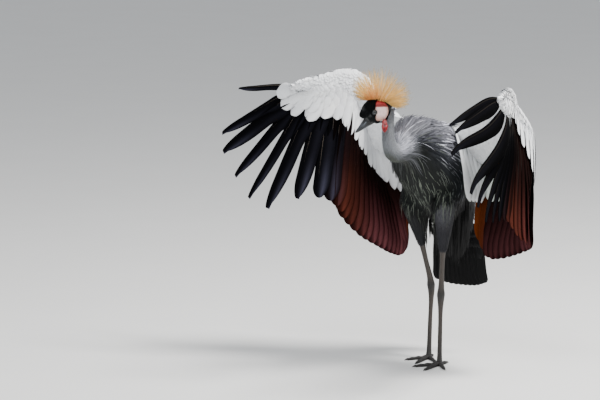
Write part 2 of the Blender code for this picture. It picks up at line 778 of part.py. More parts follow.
class FeatherFan:
    """The curved surface that a wing's or tail's feathers lie in."""

    def __init__(self, side, roots, edges, tips, bows, thick):
        """Keep the fan's named curves.

        Args:
            side: 1 where place 0 is on the bird's left, -1 where it is on its right.
            roots: places and points of the feather roots.
            edges: places and points of the edge ahead of the roots.
            tips: places and points of the feather tips.
            bows: places and the bow of the feathers between root and tip.
            thick: places and half thickness of the core.
        """
        self.side, self.roots, self.edges = side, roots, edges
        self.tips, self.bows, self.thick = tips, bows, thick

    def point(self, place, reach, rise=0.0):
        """Read a point of the fan.

        Args:
            place: feather number.
            reach: 0 at the feather roots to 1 at the tips.
            rise: height above the surface on the upper side.

        Returns:
            Array of points.
        """
        place, reach = np.broadcast_arrays(np.asarray(place, float), np.asarray(reach, float))
        root = smooth(*self.roots, place)
        tip = smooth(*self.tips, np.clip(place, -0.5, self.tips[0][-1] + 0.5))
        bow = smooth(*self.bows, np.clip(place, self.bows[0][0], self.bows[0][-1]))
        bend = 6.75 * reach * (1.0 - reach) ** 2
        out = root + (tip - root) * reach[..., None] + bow * bend[..., None]
        if np.any(rise):
            out = out + self.frame(place, reach)[2] * np.asarray(rise)[..., None]
        return out

    def frame(self, place, reach):
        """Read the fan's directions at a point.

        Args:
            place: feather number.
            reach: 0 to 1 along the feather.

        Returns:
            Directions along the feather, towards place 0, and out of the upper side.
        """
        step = 0.02
        along = unit(self.point(place, reach + step) - self.point(place, reach - step))
        outward = self.point(place - 0.3, reach) - self.point(place + 0.3, reach)
        outward = unit(outward - along * np.sum(outward * along, axis=-1, keepdims=True))
        upper = unit(np.cross(outward, along)) * self.side
        return along, outward, upper

    def vane(self, place, reach, half_widths, rise, step=1.0):
        """Make one feather, tilted so that neighbours slide over one another.

        Args:
            place: feather number.
            reach: rows along the feather.
            half_widths: largest half width at each row.
            rise: height above the fan's surface at each row.
            step: places between neighbours in this tier.

        Returns:
            The closed vane.
        """
        reach = np.asarray(reach, float)
        places = np.full(reach.shape, float(place))
        along, outward, upper = self.frame(places, reach)
        gaps = self.point(places - step / 2, reach) - self.point(places + step / 2, reach)
        spacing = np.abs(np.sum(gaps * outward, axis=-1))
        wide = np.minimum(np.asarray(half_widths, float), 0.92 * spacing)
        before = self.frame(places - step / 2, reach)[2]
        after = self.frame(places + step / 2, reach)[2]
        bend = np.arccos(np.clip(np.sum(before * after, axis=-1), -1, 1))
        cover = np.maximum(wide - spacing / 2, 0.0)
        tilt = np.clip(np.arctan((0.0027 + bend * cover) / np.maximum(spacing, 0.004)), 0.03, 0.4)
        tilt[:np.argmax(wide > 0.5 * wide.max())] = tilt[np.argmax(wide > 0.5 * wide.max())]
        centres = self.point(places, reach, np.asarray(rise, float) + np.zeros(reach.shape))
        across = outward * np.cos(tilt)[:, None] + upper * np.sin(tilt)[:, None]
        return loft("feather", vane_rings(centres, across, wide, VANE_THICK))

    def core(self, first, last, stations, back):
        """Loft the part that every feather grows from.

        Args:
            first: place of one end.
            last: place of the other end.
            stations: number of sections.
            back: depth behind the feather roots.

        Returns:
            The closed core.
        """
        places = np.linspace(first, last, stations)
        root = self.point(places, np.zeros(stations))
        along, outward, upper = self.frame(places, np.full(stations, 0.03))
        edge = smooth(*self.edges, places)
        thick = smooth(*self.thick, places)[:, None]
        lean = unit(np.cross(outward, root - edge)) * self.side
        heel = root + along * back
        rings = [edge]
        for sign in (1.0, -1.0):
            rows = [edge + (root - edge) * 0.38 + lean * thick * 0.78 * sign,
                    root + upper * thick * sign, heel + upper * thick * 0.86 * sign]
            rings += rows if sign > 0 else rows[::-1]
        return loft("core", np.stack(rings, axis=1))


def wing_node(fan, name, first, last, core_ends, stations, torso=None):
    """Make one node of a wing, its core with every feather fused in.

    Args:
        fan: the wing's surface.
        name: node name.
        first: place of the first flight feather.
        last: place after the last flight feather.
        core_ends: places of the core's two ends.
        stations: sections of the core.
        torso: plain torso that the inner node meets, or None.

    Returns:
        The node object.
    """
    core = fan.core(core_ends[0], core_ends[1], stations, CORE_BACK)
    feathers = []
    for number in range(first, last):
        wide = float(smooth(WIDTH_PLACES, HALF_WIDTHS, number))
        slim = max(0.0, 1.0 - number / 4.0)
        rows = np.array([0.035, 0.23, 0.52, 0.84, 1.0])
        width = wide * np.array([0.06, 0.86, 1.0, 0.92 - 0.30 * slim, 0.42 - 0.24 * slim])
        if abs(number - HAND_END) < 1.0:
            width[1] *= 0.45
            width[2] *= 0.62
        feathers.append(fan.vane(number, rows, width, 0.0))
    for upper in (1, -1):
        step = 1.5
        for place in np.arange(0.8 if first == 0 else 10.2, min(last, 28) - 1.2, step):
            inner = min(max((place - 9.0) / 16.0, 0.0), 1.0)
            far = 0.25 + (0.28 if upper > 0 else 0.20) * inner
            rows = np.array([0.03, 0.62 * far + 0.03, far])
            narrow = place < 2 or abs(place - HAND_END) < 1.5
            width = np.array([0.0015, 0.0205, 0.0100]) * (0.7 if narrow else 1.0)
            rise = upper * np.array([0.0045, TIER_RISE, TIER_RISE])
            feathers.append(fan.vane(place, rows, width, rise, step))
    combine(core, feathers)
    if torso is not None:
        combine(core, [swollen(torso)], "DIFFERENCE")
    core.name = name
    return core


def make_tail(torso):
    """Make the tail fan with its coverts.

    Args:
        torso: plain torso.

    Returns:
        The tail object.
    """
    ends = (TAIL_ROOT_PLACES[0], TAIL_ROOT_PLACES[-1])
    fan = FeatherFan(1, (TAIL_ROOT_PLACES, TAIL_ROOTS), (TAIL_ROOT_PLACES, TAIL_EDGES),
                     (TAIL_TIP_PLACES, TAIL_TIPS), (ends, (TAIL_BOW, TAIL_BOW)),
                     (ends, (TAIL_HALF_THICK * 0.9, TAIL_HALF_THICK * 0.9)))
    core = fan.core(-0.5, TAIL_FEATHERS - 0.5, 6, CORE_BACK)
    pieces = []
    rows = np.array([0.04, 0.14, 0.40, 0.90, 1.0])
    width = TAIL_HALF_WIDTH * np.array([0.14, 0.28, 0.86, 1.0, 0.5])
    for number in range(TAIL_FEATHERS):
        pieces.append(fan.vane(number, rows, width, 0.0))
    step = 1.7
    for upper, far in ((1, 0.52), (-1, 0.60)):
        for place in np.arange(0.3, TAIL_FEATHERS - 1, step):
            rise = upper * np.array([0.0030, 0.0055, TIER_RISE, TIER_RISE])
            width = np.array([0.002, 0.004, 0.013, 0.006])
            rows = np.array([0.03, 0.14, far * 0.75, far])
            pieces.append(fan.vane(place, rows, width, rise, step))
    combine(core, pieces)
    return combine(core, [swollen(torso)], "DIFFERENCE")


def main():
    """Build every node of the bird."""
    for thing in list(bpy.data.objects):
        bpy.data.objects.remove(thing)
    group = bpy.data.collections.new(COLLECTION)
    bpy.context.scene.collection.children.link(group)
    draw = random.Random(SEED)

    torso = make_torso()
    head = make_head()
    neck = make_neck(torso, head["plain"])
    bpy.data.objects.remove(head.pop("plain"))
    combine(head["wattle"], [swollen(neck)], "DIFFERENCE")
    arms = []
    split = 0.5 * GAP / 0.0145
    for side, label, roots, edges, tips, bows in (
            (1, "left", ROOTS_LEFT, EDGES_LEFT, TIPS_LEFT, BOWS_LEFT),
            (-1, "right", ROOTS_RIGHT, EDGES_RIGHT, TIPS_RIGHT, BOWS_RIGHT)):
        fan = FeatherFan(side, (ROOT_PLACES, roots), (EDGE_PLACES, edges), (TIP_PLACES, tips),
                         (BOW_PLACES, bows), (THICK_PLACES, CORE_HALF_THICK))
        hand = wing_node(fan, "wing_hand", 0, 10, (-0.5, HAND_END - split), 7)
        node(hand, "wing_%s_hand" % label, (0.10, 0.10, 0.11))
        arm = wing_node(fan, "wing_arm", 10, FLIGHT_COUNT, (HAND_END + split, 28.5), 10, torso)
        arms.append(node(arm, "wing_%s_inner" % label, (0.30, 0.10, 0.06)))
    tail = make_tail(torso)
    legs = leg_nodes("left", FOOT_LEFT, ANKLE_LEFT, KNEE_LEFT, HIP_LEFT, torso)
    legs.update(leg_nodes("right", FOOT_RIGHT, ANKLE_RIGHT, KNEE_RIGHT, HIP_RIGHT, torso))

    combine(torso, plume_pieces(draw))
    near = [legs["thigh_left"], legs["thigh_right"]] + arms
    combine(torso, [swollen(thing, GAP / 2) for thing in near], "DIFFERENCE")
    node(torso, "torso", (0.33, 0.35, 0.37))
    node(neck, "neck", (0.62, 0.64, 0.66))
    node(tail, "tail", (0.02, 0.02, 0.022))
    tints = {"head": (0.55, 0.45, 0.43), "crest": (0.80, 0.58, 0.22), "wattle": (0.6, 0.03, 0.04),
             "bill_upper": (0.12, 0.12, 0.13), "bill_lower": (0.12, 0.12, 0.13),
             "eye_left": (0.35, 0.42, 0.45), "eye_right": (0.35, 0.42, 0.45)}
    for name, thing in head.items():
        node(thing, name, tints[name])
    for name, thing in legs.items():
        node(thing, name, (0.25, 0.26, 0.28) if "thigh" in name else (0.16, 0.14, 0.13))
    for thing in group.objects:
        for vert in thing.data.vertices:
            vert.co += Vector(SHIFT)


if __name__ == "__main__":
    main()
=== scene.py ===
"""Dressed grey crowned crane: skin, plumage, bill, eyes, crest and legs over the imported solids.

The bird stands in the frame of its solids: it faces -Y, its left side is +X, +Z is up and the
floor is z = 0. Lengths are metres and colours are written as display values from 0 to 255.
Every surface is a formula on a grid, worked out with arrays. Small feathers are combed over a
smooth field round the trunk, neck and thighs; wing and tail feathers lie on the fan surfaces
that the solids use, finer and with more tiers.
"""

import logging
import math
from dataclasses import dataclass
from enum import Enum
from typing import Callable, Optional, Sequence, Union

import bmesh
import bpy
import numpy as np
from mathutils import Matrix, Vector


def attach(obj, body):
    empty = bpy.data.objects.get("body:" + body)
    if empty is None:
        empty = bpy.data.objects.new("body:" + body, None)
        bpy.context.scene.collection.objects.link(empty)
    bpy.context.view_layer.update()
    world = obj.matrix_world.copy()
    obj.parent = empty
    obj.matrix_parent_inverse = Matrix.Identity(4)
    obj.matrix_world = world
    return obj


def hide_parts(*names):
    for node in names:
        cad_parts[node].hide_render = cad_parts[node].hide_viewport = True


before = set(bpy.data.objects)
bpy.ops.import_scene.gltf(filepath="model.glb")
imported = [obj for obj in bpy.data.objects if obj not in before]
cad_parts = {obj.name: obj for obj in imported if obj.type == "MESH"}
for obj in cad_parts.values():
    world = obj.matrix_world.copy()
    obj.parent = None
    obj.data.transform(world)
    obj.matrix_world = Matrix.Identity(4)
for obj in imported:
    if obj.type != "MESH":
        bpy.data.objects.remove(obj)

Array = np.ndarray
LOG = logging.getLogger("crane")
DRAW = np.random.default_rng(11)
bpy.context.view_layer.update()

# The bird is modelled around the point on the floor between its feet.
ORIGIN = np.array((0.155, 0.187, 0.0))
DOWN = np.array((0.0, 0.0, -1.0))
PATCH = 0.003


def smooth(knots: Sequence[float], values: Sequence, at: Array) -> Array:
    """Read a smooth curve through named values, by cubic pieces with matched slopes.

    Args:
        knots: rising places of the values.
        values: one value or point for each place.
        at: places to read.

    Returns:
        The values at those places.
    """
    knots = np.asarray(knots, float)
    values = np.asarray(values, float)
    at = np.asarray(at, float)
    flat = values.reshape(len(knots), -1)
    steps = np.diff(knots)[:, None]
    slopes = np.diff(flat, axis=0) / steps
    tangents = np.empty_like(flat)
    tangents[0], tangents[-1] = slopes[0], slopes[-1]
    tangents[1:-1] = (slopes[:-1] * steps[1:] + slopes[1:] * steps[:-1]) / (steps[1:] + steps[:-1])
    index = np.clip(np.searchsorted(knots, at.ravel(), side="right") - 1, 0, len(knots) - 2)
    span = np.diff(knots)[index][:, None]
    t = (at.ravel() - knots[index])[:, None] / span
    m0, m1 = tangents[index] * span, tangents[index + 1] * span
    out = ((2 * t**3 - 3 * t**2 + 1) * flat[index] + (t**3 - 2 * t**2 + t) * m0
           + (3 * t**2 - 2 * t**3) * flat[index + 1] + (t**3 - t**2) * m1)
    return out.reshape(at.shape + values.shape[1:])


def unit(vectors: Array) -> Array:
    """Scale vectors along the last axis to length one."""
    vectors = np.asarray(vectors, float)
    return vectors / np.maximum(np.linalg.norm(vectors, axis=-1, keepdims=True), 1e-12)


def dot(a: Array, b: Array) -> Array:
    """Dot product over the last axis, with that axis kept."""
    return np.sum(a * b, axis=-1, keepdims=True)


def step_up(low: float, high: float, at: Array) -> Array:
    """Rise smoothly from 0 at low to 1 at high."""
    t = np.clip((np.asarray(at, float) - low) / (high - low), 0.0, 1.0)
    return t * t * (3.0 - 2.0 * t)


def tint(red: float, green: float, blue: float) -> Array:
    """Turn a display colour from 0 to 255 into the linear values that shaders use."""
    c = np.array([red, green, blue]) / 255.0
    return np.where(c <= 0.04045, c / 12.92, ((c + 0.055) / 1.055) ** 2.4)


def mixed(a: Array, b: Array, share: Array) -> Array:
    """Blend two colours or points by a share."""
    share = np.asarray(share, float)[..., None]
    return a + (b - a) * share


class Plumage:
    """Colours of the bird, named for where they are."""

    COVERT = tint(244, 246, 249)
    # Under coverts: white painted grey-green, as painted shade.
    UNDER_COVERT_SHADE = tint(200, 208, 202)
    NECK = tint(128, 131, 136)
    NECK_DARK = tint(92, 95, 99)
    # Cape: pale grey, painted paler at the rear where light falls and greyer at the front as painted shade.
    CAPE = tint(178, 180, 191)
    CAPE_SHADE = tint(88, 91, 94)
    CAPE_DARK = tint(84, 86, 96)
    MANTLE = tint(198, 199, 213)
    MANTLE_DARK = tint(44, 46, 57)
    FLANK = tint(22, 24, 29)
    FLANK_PALE = tint(146, 149, 158)
    # Olive grey: painted shade on the lower front of the neck.
    SHADE_OLIVE = tint(50, 54, 40)
    # Breast: dark plumage, deepened with painted shade.
    BREAST_AND_SHADE = tint(10, 13, 12)
    BREAST_PALE = tint(130, 138, 126)
    # Rump: dark plumage, deepened with painted shade.
    RUMP_AND_SHADE = tint(6, 6, 7)
    THIGH = tint(54, 54, 59)
    # Painted highlight on the upper front of the left thigh.
    THIGH_LIT = tint(112, 112, 119)
    THIGH_DARK = tint(18, 19, 22)
    TAIL = tint(6, 6, 7)
    PRIMARY = tint(12, 12, 17)
    # Painted sheen: a bluish reflection laid on black primaries.
    PAINTED_SHEEN_TINT = tint(64, 64, 80)
    CHESTNUT = tint(80, 38, 29)
    MAROON = tint(98, 54, 58)
    CHESTNUT_DARK = tint(20, 8, 7)
    # Rusty rim colour, partly a painted glow of light through a thin feather edge.
    RUST_AND_GLOW = tint(92, 42, 14)
    SHAFT = tint(150, 138, 128)
    CREST_BASE = tint(238, 164, 92)
    CREST = tint(240, 198, 118)
    CREST_TIP = tint(120, 96, 50)
    VELVET = tint(6, 7, 9)
    LORE = tint(26, 28, 30)
    CHEEK = tint(234, 206, 200)
    CHEEK_EDGE = tint(196, 150, 136)
    CHEEK_RED = tint(158, 5, 12)
    CHEEK_RED_DARK = tint(92, 2, 7)
    WATTLE = tint(140, 2, 14)
    # Painted shade in the wattle's groove and folds.
    WATTLE_SHADE = tint(56, 1, 9)
    BILL = tint(6, 7, 8)
    BILL_PALE = tint(90, 96, 104)
    LEG = tint(58, 50, 44)
    LEG_DARK = tint(28, 26, 25)
    CLAW = tint(34, 31, 30)
    IRIS = tint(60, 68, 74)
    PUPIL = tint(3, 3, 4)
    LID = tint(24, 26, 28)


def grid_faces(count: int, rows: int, columns: int, round_: bool) -> Array:
    """Number the four corners of each cell of many equal grids.

    Args:
        count: how many grids.
        rows: points along each grid.
        columns: points across each grid.
        round_: whether the last column joins the first.

    Returns:
        Corner numbers, four for each face.
    """
    start = np.arange(count)[:, None, None] * rows * columns
    row = np.arange(rows - 1)[None, :, None] * columns
    column = np.arange(columns if round_ else columns - 1)[None, None, :]
    a, b = start + row + column, start + row + (column + 1) % columns
    return np.stack([a, b, b + columns, a + columns], axis=-1).reshape(-1, 4)


@dataclass
class Sheet:
    """Points, faces and surface values of a piece, before it becomes a mesh."""

    points: Array
    faces: Array
    marking: Array
    vane: Array
    bake: Array

    def joined(self, *others: "Sheet") -> "Sheet":
        """Put other sheets beside this one, as one piece."""
        every = (self,) + others
        starts = np.cumsum([0] + [len(s.points) for s in every[:-1]])
        return Sheet(np.concatenate([s.points for s in every]),
                     np.concatenate([s.faces + k for s, k in zip(every, starts)]),
                     np.concatenate([s.marking for s in every]),
                     np.concatenate([s.vane for s in every]),
                     np.concatenate([s.bake for s in every]))

    def build(self, name: str, material: bpy.types.Material, slot: str,
              replaces: Sequence[str] = (), weld: bool = False) -> bpy.types.Object:
        """Make the mesh object, dress it and hang it on the frame.

        Args:
            name: piece name.
            material: its material.
            slot: the record's slot name; not used.
            replaces: solids that it stands for.
            weld: whether points at one place are merged and faces turned outward.

        Returns:
            The object.
        """
        mesh = bpy.data.meshes.new(name)
        mesh.vertices.add(len(self.points))
        mesh.vertices.foreach_set("co", (self.points + ORIGIN).astype(np.float32).ravel())
        corners = self.faces.astype(np.int32).ravel()
        mesh.loops.add(len(corners))
        mesh.loops.foreach_set("vertex_index", corners)
        mesh.polygons.add(len(self.faces))
        mesh.polygons.foreach_set("loop_start", np.arange(0, len(corners), 4, dtype=np.int32))
        mesh.polygons.foreach_set("use_smooth", np.ones(len(self.faces), dtype=bool))
        mesh.update(calc_edges=True)
        for label, values in (("OFBake", self.bake), ("Vane", self.vane)):
            layer = mesh.uv_layers.new(name=label)
            layer.data.foreach_set("uv", values[corners].astype(np.float32).ravel())
        colour = mesh.attributes.new("Marking", "FLOAT_COLOR", "POINT")
        solid = np.concatenate([self.marking, np.ones((len(self.points), 1))], axis=1)
        colour.data.foreach_set("color", solid.astype(np.float32).ravel())
        if weld:
            shape = bmesh.new()
            shape.from_mesh(mesh)
            bmesh.ops.remove_doubles(shape, verts=shape.verts, dist=1e-6)
            bmesh.ops.recalc_face_normals(shape, faces=shape.faces)
            shape.to_mesh(mesh)
            shape.free()
        mesh.materials.append(material)
        piece = bpy.data.objects.new(name, mesh)
        bpy.context.scene.collection.objects.link(piece)
        if replaces:
            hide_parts(*replaces)
        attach(piece, "root")
        LOG.info("%s: %d faces", name, len(mesh.polygons))
        return piece


def patch_at(place: Array, across: Array, along: Array) -> Array:
    """Lay each small feather as a patch at its root's place on the skin's unwrap.

    Args:
        place: root places, one pair for each feather.
        across: -1 to 1 across the feather, for each grid point.
        along: 0 to 1 along the feather, for each grid point.

    Returns:
        Places of every grid point.
    """
    spot = np.stack(np.broadcast_arrays(across * 0.5, along - 0.5), axis=-1) * PATCH
    return place[:, None, None] + spot


def strip_at(count: int, across: Array, along: Array, half: Array) -> Array:
    """Lay each large feather as its own strip, upper face below and under face above.

    Args:
        count: how many feathers share the map.
        across: -1 to 1 across the feather.
        along: 0 to 1 along the feather.
        half: 0 for points of the upper face and 1 for points of the under face.

    Returns:
        Places of every grid point.
    """
    column = np.arange(count)[:, None, None]
    u = (column + 0.5 + 0.42 * across) / count
    v = 0.01 + 0.48 * along + 0.5 * half
    return np.stack(np.broadcast_arrays(u, v), axis=-1)


@dataclass
class Blades:
    """Many feather blades as arrays: a middle line with a half width to each side."""

    centre: Array
    across: Array
    normal: Array
    left: Array
    right: Array
    columns: int = 3
    camber: float = 0.25
    thick: float = 0.0

    def grid(self) -> tuple:
        """Work out the blade points.

        A point is the middle line plus the across direction times the signed half width, let
        down by camber times the square of the share across, so that the edges hug the bird.

        Returns:
            Points, share across from -1 to 1, share along from 0 to 1, and the face, 0 or 1.
        """
        count, rows = self.left.shape
        share = np.linspace(-1.0, 1.0, self.columns)
        if self.columns == 1:
            share = np.zeros(1)
        reach = np.where(share < 0, self.left[..., None], self.right[..., None]) * share
        width = np.maximum(self.left, self.right)[..., None]
        points = (self.centre[:, :, None] + self.across[:, :, None] * reach[..., None]
                  - self.normal[:, :, None] * (self.camber * width * share**2)[..., None])
        along = np.linspace(0.0, 1.0, rows)[None, :, None] + np.zeros((count, 1, self.columns))
        across = share + np.zeros((count, rows, 1))
        face = np.zeros((count, rows, self.columns))
        if self.thick > 0.0:
            body = self.thick * (0.15 + 0.85 * (1.0 - share**2))[..., None] * 0.5
            lift = self.normal[:, :, None] * body
            points = np.concatenate([points + lift, (points - lift)[:, :, ::-1]], axis=2)
            across = np.concatenate([across, across[:, :, ::-1]], axis=2)
            along = np.concatenate([along, along], axis=2)
            reach = np.concatenate([reach, reach[:, :, ::-1]], axis=2)
            face = np.concatenate([face, face + 1.0], axis=2)
        self.reach = reach
        return points, across, along, face

    def sheet(self, colour: Callable, bake: Callable) -> Sheet:
        """Turn the blades into one sheet.

        Args:
            colour: takes share across, share along and face, returns colours.
            bake: takes share across, share along and face, returns places on the map.

        Returns:
            The sheet.
        """
        points, across, along, face = self.grid()
        count, rows, columns = across.shape
        closed = self.thick > 0.0
        faces = grid_faces(count, rows, columns, closed)
        if closed:
            half = columns // 2
            j = np.arange(half - 1)
            caps = []
            for row, turn in ((0, 1), (rows - 1, -1)):
                base = np.arange(count)[:, None] * rows * columns + row * columns
                quad = np.stack([base + j, base + columns - 1 - j, base + columns - 2 - j,
                                 base + j + 1], axis=-1)
                caps.append(quad[..., ::turn].reshape(-1, 4))
            faces = np.concatenate([faces] + caps)
        length = np.linalg.norm(np.diff(self.centre, axis=1), axis=-1)
        run = np.concatenate([np.zeros((count, 1)), np.cumsum(length, axis=1)], axis=1)
        vane = np.stack(np.broadcast_arrays(self.reach, run[..., None]), axis=-1)
        return Sheet(points.reshape(-1, 3), faces, colour(across, along, face).reshape(-1, 3),
                     vane.reshape(-1, 2), bake(across, along, face).reshape(-1, 2))


def tube_sheet(path: Array, wide: Array, deep: Array, sides: int, up: Array,
               relief: Optional[Array] = None, ends: bool = True) -> Sheet:
    """Carry a ring along a path and close both ends at a point.

    Args:
        path: centre points.
        wide: half size across.
        deep: half size on the up side.
        sides: points in each ring.
        up: direction that fixes how the rings are turned.
        relief: height added outward at each grid point.
        ends: whether the ends are closed.

    Returns:
        A sheet with grey marking, to be painted by the caller.
    """
    along = unit(np.gradient(path, axis=0))
    side = unit(np.cross(along, np.asarray(up, float)))
    rise = np.cross(side, along)
    turn = np.linspace(0.0, 2.0 * math.pi, sides, endpoint=False)
    ring = (side[:, None] * (np.cos(turn) * np.asarray(wide)[:, None])[..., None]
            + rise[:, None] * (np.sin(turn) * np.asarray(deep)[:, None])[..., None])
    if relief is not None:
        ring = ring + unit(ring) * relief[..., None]
    if ends:
        ring = np.concatenate([ring[:1] * 0.0, ring, ring[-1:] * 0.0])
        path = np.concatenate([path[:1], path, path[-1:]])
    rows = len(path)
    points = (path[:, None] + ring).reshape(-1, 3)
    run = np.concatenate([[0.0], np.cumsum(np.linalg.norm(np.diff(path, axis=0), axis=1))])
    girth = np.linalg.norm(ring, axis=-1)
    vane = np.stack(np.broadcast_arrays((turn / (2 * math.pi))[None, :] * girth.max() * 6.28,
                                        run[:, None]), axis=-1).reshape(-1, 2)
    bake = np.stack(np.broadcast_arrays((turn / (2 * math.pi))[None, :] * 0.98 + 0.01,
                                        (run / max(run[-1], 1e-9))[:, None]), axis=-1)
    return Sheet(points, grid_faces(1, rows, sides, True), np.full((rows * sides, 3), 0.2), vane,
                 bake.reshape(-1, 2))


class Socket:
    """One value in a material, with Python's operators on it."""

    def __init__(self, shader: "Shader", output: bpy.types.NodeSocket) -> None:
        """Keep the material and the output that carries the value."""
        self.shader, self.output = shader, output

    def math(self, operation: str, *others: Union["Socket", float]) -> "Socket":
        """Add one Math node to this value.

        Args:
            operation: the Math node's operation.
            others: the values of its other sockets.

        Returns:
            The result.
        """
        inputs = {i: value for i, value in enumerate((self,) + others)}
        return self.shader.value("ShaderNodeMath", 0, {"operation": operation}, inputs)

    def __add__(self, other: Union["Socket", float]) -> "Socket":
        """Sum."""
        return self.math("ADD", other)

    def __mul__(self, other: Union["Socket", float]) -> "Socket":
        """Product."""
        return self.math("MULTIPLY", other)

    def __sub__(self, other: Union["Socket", float]) -> "Socket":
        """Difference."""
        return self.math("SUBTRACT", other)

    def __rsub__(self, other: float) -> "Socket":
        """Difference from a number."""
        return (self * -1.0) + other

    __radd__ = __add__
    __rmul__ = __mul__

    def size(self) -> "Socket":
        """Value without its sign."""
        return self.math("ABSOLUTE")

    def wave(self) -> "Socket":
        """Sine of the value."""
        return self.math("SINE")

    def clipped(self) -> "Socket":
        """Value kept between 0 and 1."""
        return self.shader.value("ShaderNodeClamp", 0, {}, {0: self})


class Shader:
    """A material under construction."""

    def __init__(self, name: str) -> None:
        """Make an empty Principled material."""
        self.material = bpy.data.materials.new(name)
        self.material.use_nodes = True
        self.tree = self.material.node_tree
        self.surface = self.tree.nodes["Principled BSDF"]

    def node(self, kind: str, settings: dict, inputs: dict) -> bpy.types.Node:
        """Add a node.

        Args:
            kind: node type.
            settings: its own settings, set first.
            inputs: values or sockets of its inputs, by name or number.

        Returns:
            The node.
        """
        made = self.tree.nodes.new(kind)
        for key, value in settings.items():
            setattr(made, key, value)
        for key, value in inputs.items():
            if isinstance(value, Socket):
                self.tree.links.new(value.output, made.inputs[key])
            elif value is not None:
                made.inputs[key].default_value = value
        return made

    def value(self, kind: str, output: Union[int, str], settings: dict, inputs: dict) -> Socket:
        """Add a node and read one of its outputs."""
        return Socket(self, self.node(kind, settings, inputs).outputs[output])

    def blend(self, share: Union[Socket, float], a: object, b: object,
              way: str = "MIX") -> Socket:
        """Mix two colours by a share."""
        settings = {"data_type": "RGBA", "blend_type": way}
        return self.value("ShaderNodeMix", 2, settings, {0: share, 6: a, 7: b})

    def marking(self) -> Socket:
        """Read the colour painted on the piece."""
        return self.value("ShaderNodeAttribute", "Color", {"attribute_name": "Marking"}, {})

    def noise(self, vector: Socket, scale: float, detail: float = 3.0) -> Socket:
        """Read a cloudy pattern from 0 to 1."""
        return self.value("ShaderNodeTexNoise", 0, {},
                          {"Vector": vector, "Scale": scale, "Detail": detail})

    def finish(self, colour: Socket, height: Optional[Socket], depth: float,
               constants: dict) -> bpy.types.Material:
        """Connect colour and bump, and set the constant sockets.

        Args:
            colour: base colour.
            height: bump height from 0 to 1, or None.
            depth: bump depth in metres.
            constants: values of the shader's own sockets.

        Returns:
            The material.
        """
        self.tree.links.new(colour.output, self.surface.inputs["Base Color"])
        if height is not None:
            bump = self.value("ShaderNodeBump", 0, {},
                              {"Height": height, "Distance": depth, "Strength": 1.0})
            self.tree.links.new(bump.output, self.surface.inputs["Normal"])
        for key, value in constants.items():
            self.surface.inputs[key].default_value = value
        return self.material


@dataclass(frozen=True)
class FeatherFinish:
    """Feather surface: slanting barbs, streaks along them and a soft sheen."""

    name: str
    roughness: float
    sheen: float
    shine: float = 0.25
    barb: float = 0.0011
    slant: float = 0.8
    depth: float = 0.00012
    streak: float = 0.30

    def build(self) -> bpy.types.Material:
        """Make the material.

        The barb's place is the distance along the shaft plus slant times the distance from it.
        Lines repeat at the barb's spacing, and streaks are a noise that changes quickly along
        that place and slowly across it.
        """
        shader = Shader(self.name)
        spot = shader.value("ShaderNodeUVMap", 0, {"uv_map": "Vane"}, {})
        parts = shader.node("ShaderNodeSeparateXYZ", {}, {0: spot})
        across, along = Socket(shader, parts.outputs[0]), Socket(shader, parts.outputs[1])
        slope = along + across.size() * self.slant
        line = (slope * (2.0 * math.pi / self.barb)).wave() * 0.5 + 0.5
        spread = shader.value("ShaderNodeCombineXYZ", 0, {},
                              {0: slope * 420.0, 1: across * 30.0, 2: 0.0})
        streak = shader.noise(spread, 1.0, 2.0)
        share = (streak - 0.5) * (2.0 * self.streak) + 1.0
        grey = shader.value("ShaderNodeCombineXYZ", 0, {}, {0: share, 1: share, 2: share})
        colour = shader.value("ShaderNodeVectorMath", 0, {"operation": "MULTIPLY"},
                              {0: shader.marking(), 1: grey})
        height = line * 0.35 + streak * 0.65
        return shader.finish(colour, height, self.depth,
                             {"Roughness": self.roughness, "Sheen Weight": self.sheen,
                              "Sheen Roughness": 0.5, "Specular IOR Level": self.shine})


@dataclass(frozen=True)
class SkinFinish:
    """Bare skin or horn: painted colour with mottling, wrinkles and a softly glossy surface."""

    name: str
    roughness: float
    scale: float = 900.0
    mottle: float = 0.25
    depth: float = 0.0002
    coat: float = 0.0
    glow: float = 0.0

    def build(self) -> bpy.types.Material:
        """Make the material: mottling is a cloudy noise, wrinkles are cells of a fine mesh."""
        shader = Shader(self.name)
        place = shader.value("ShaderNodeTexCoord", "Object", {}, {})
        cloud = shader.noise(place, self.scale * 0.25, 4.0)
        cells = shader.value("ShaderNodeTexVoronoi", 0, {"feature": "DISTANCE_TO_EDGE"},
                             {"Vector": place, "Scale": self.scale})
        share = (cloud - 0.5) * (2.0 * self.mottle) + 1.0
        grey = shader.value("ShaderNodeCombineXYZ", 0, {}, {0: share, 1: share, 2: share})
        colour = shader.value("ShaderNodeVectorMath", 0, {"operation": "MULTIPLY"},
                              {0: shader.marking(), 1: grey})
        height = (cells * 3.0).clipped() * 0.6 + cloud * 0.4
        return shader.finish(colour, height, self.depth,
                             {"Roughness": self.roughness, "Coat Weight": self.coat,
                              "Coat Roughness": 0.2, "Subsurface Weight": self.glow,
                              "Subsurface Scale": 0.004})


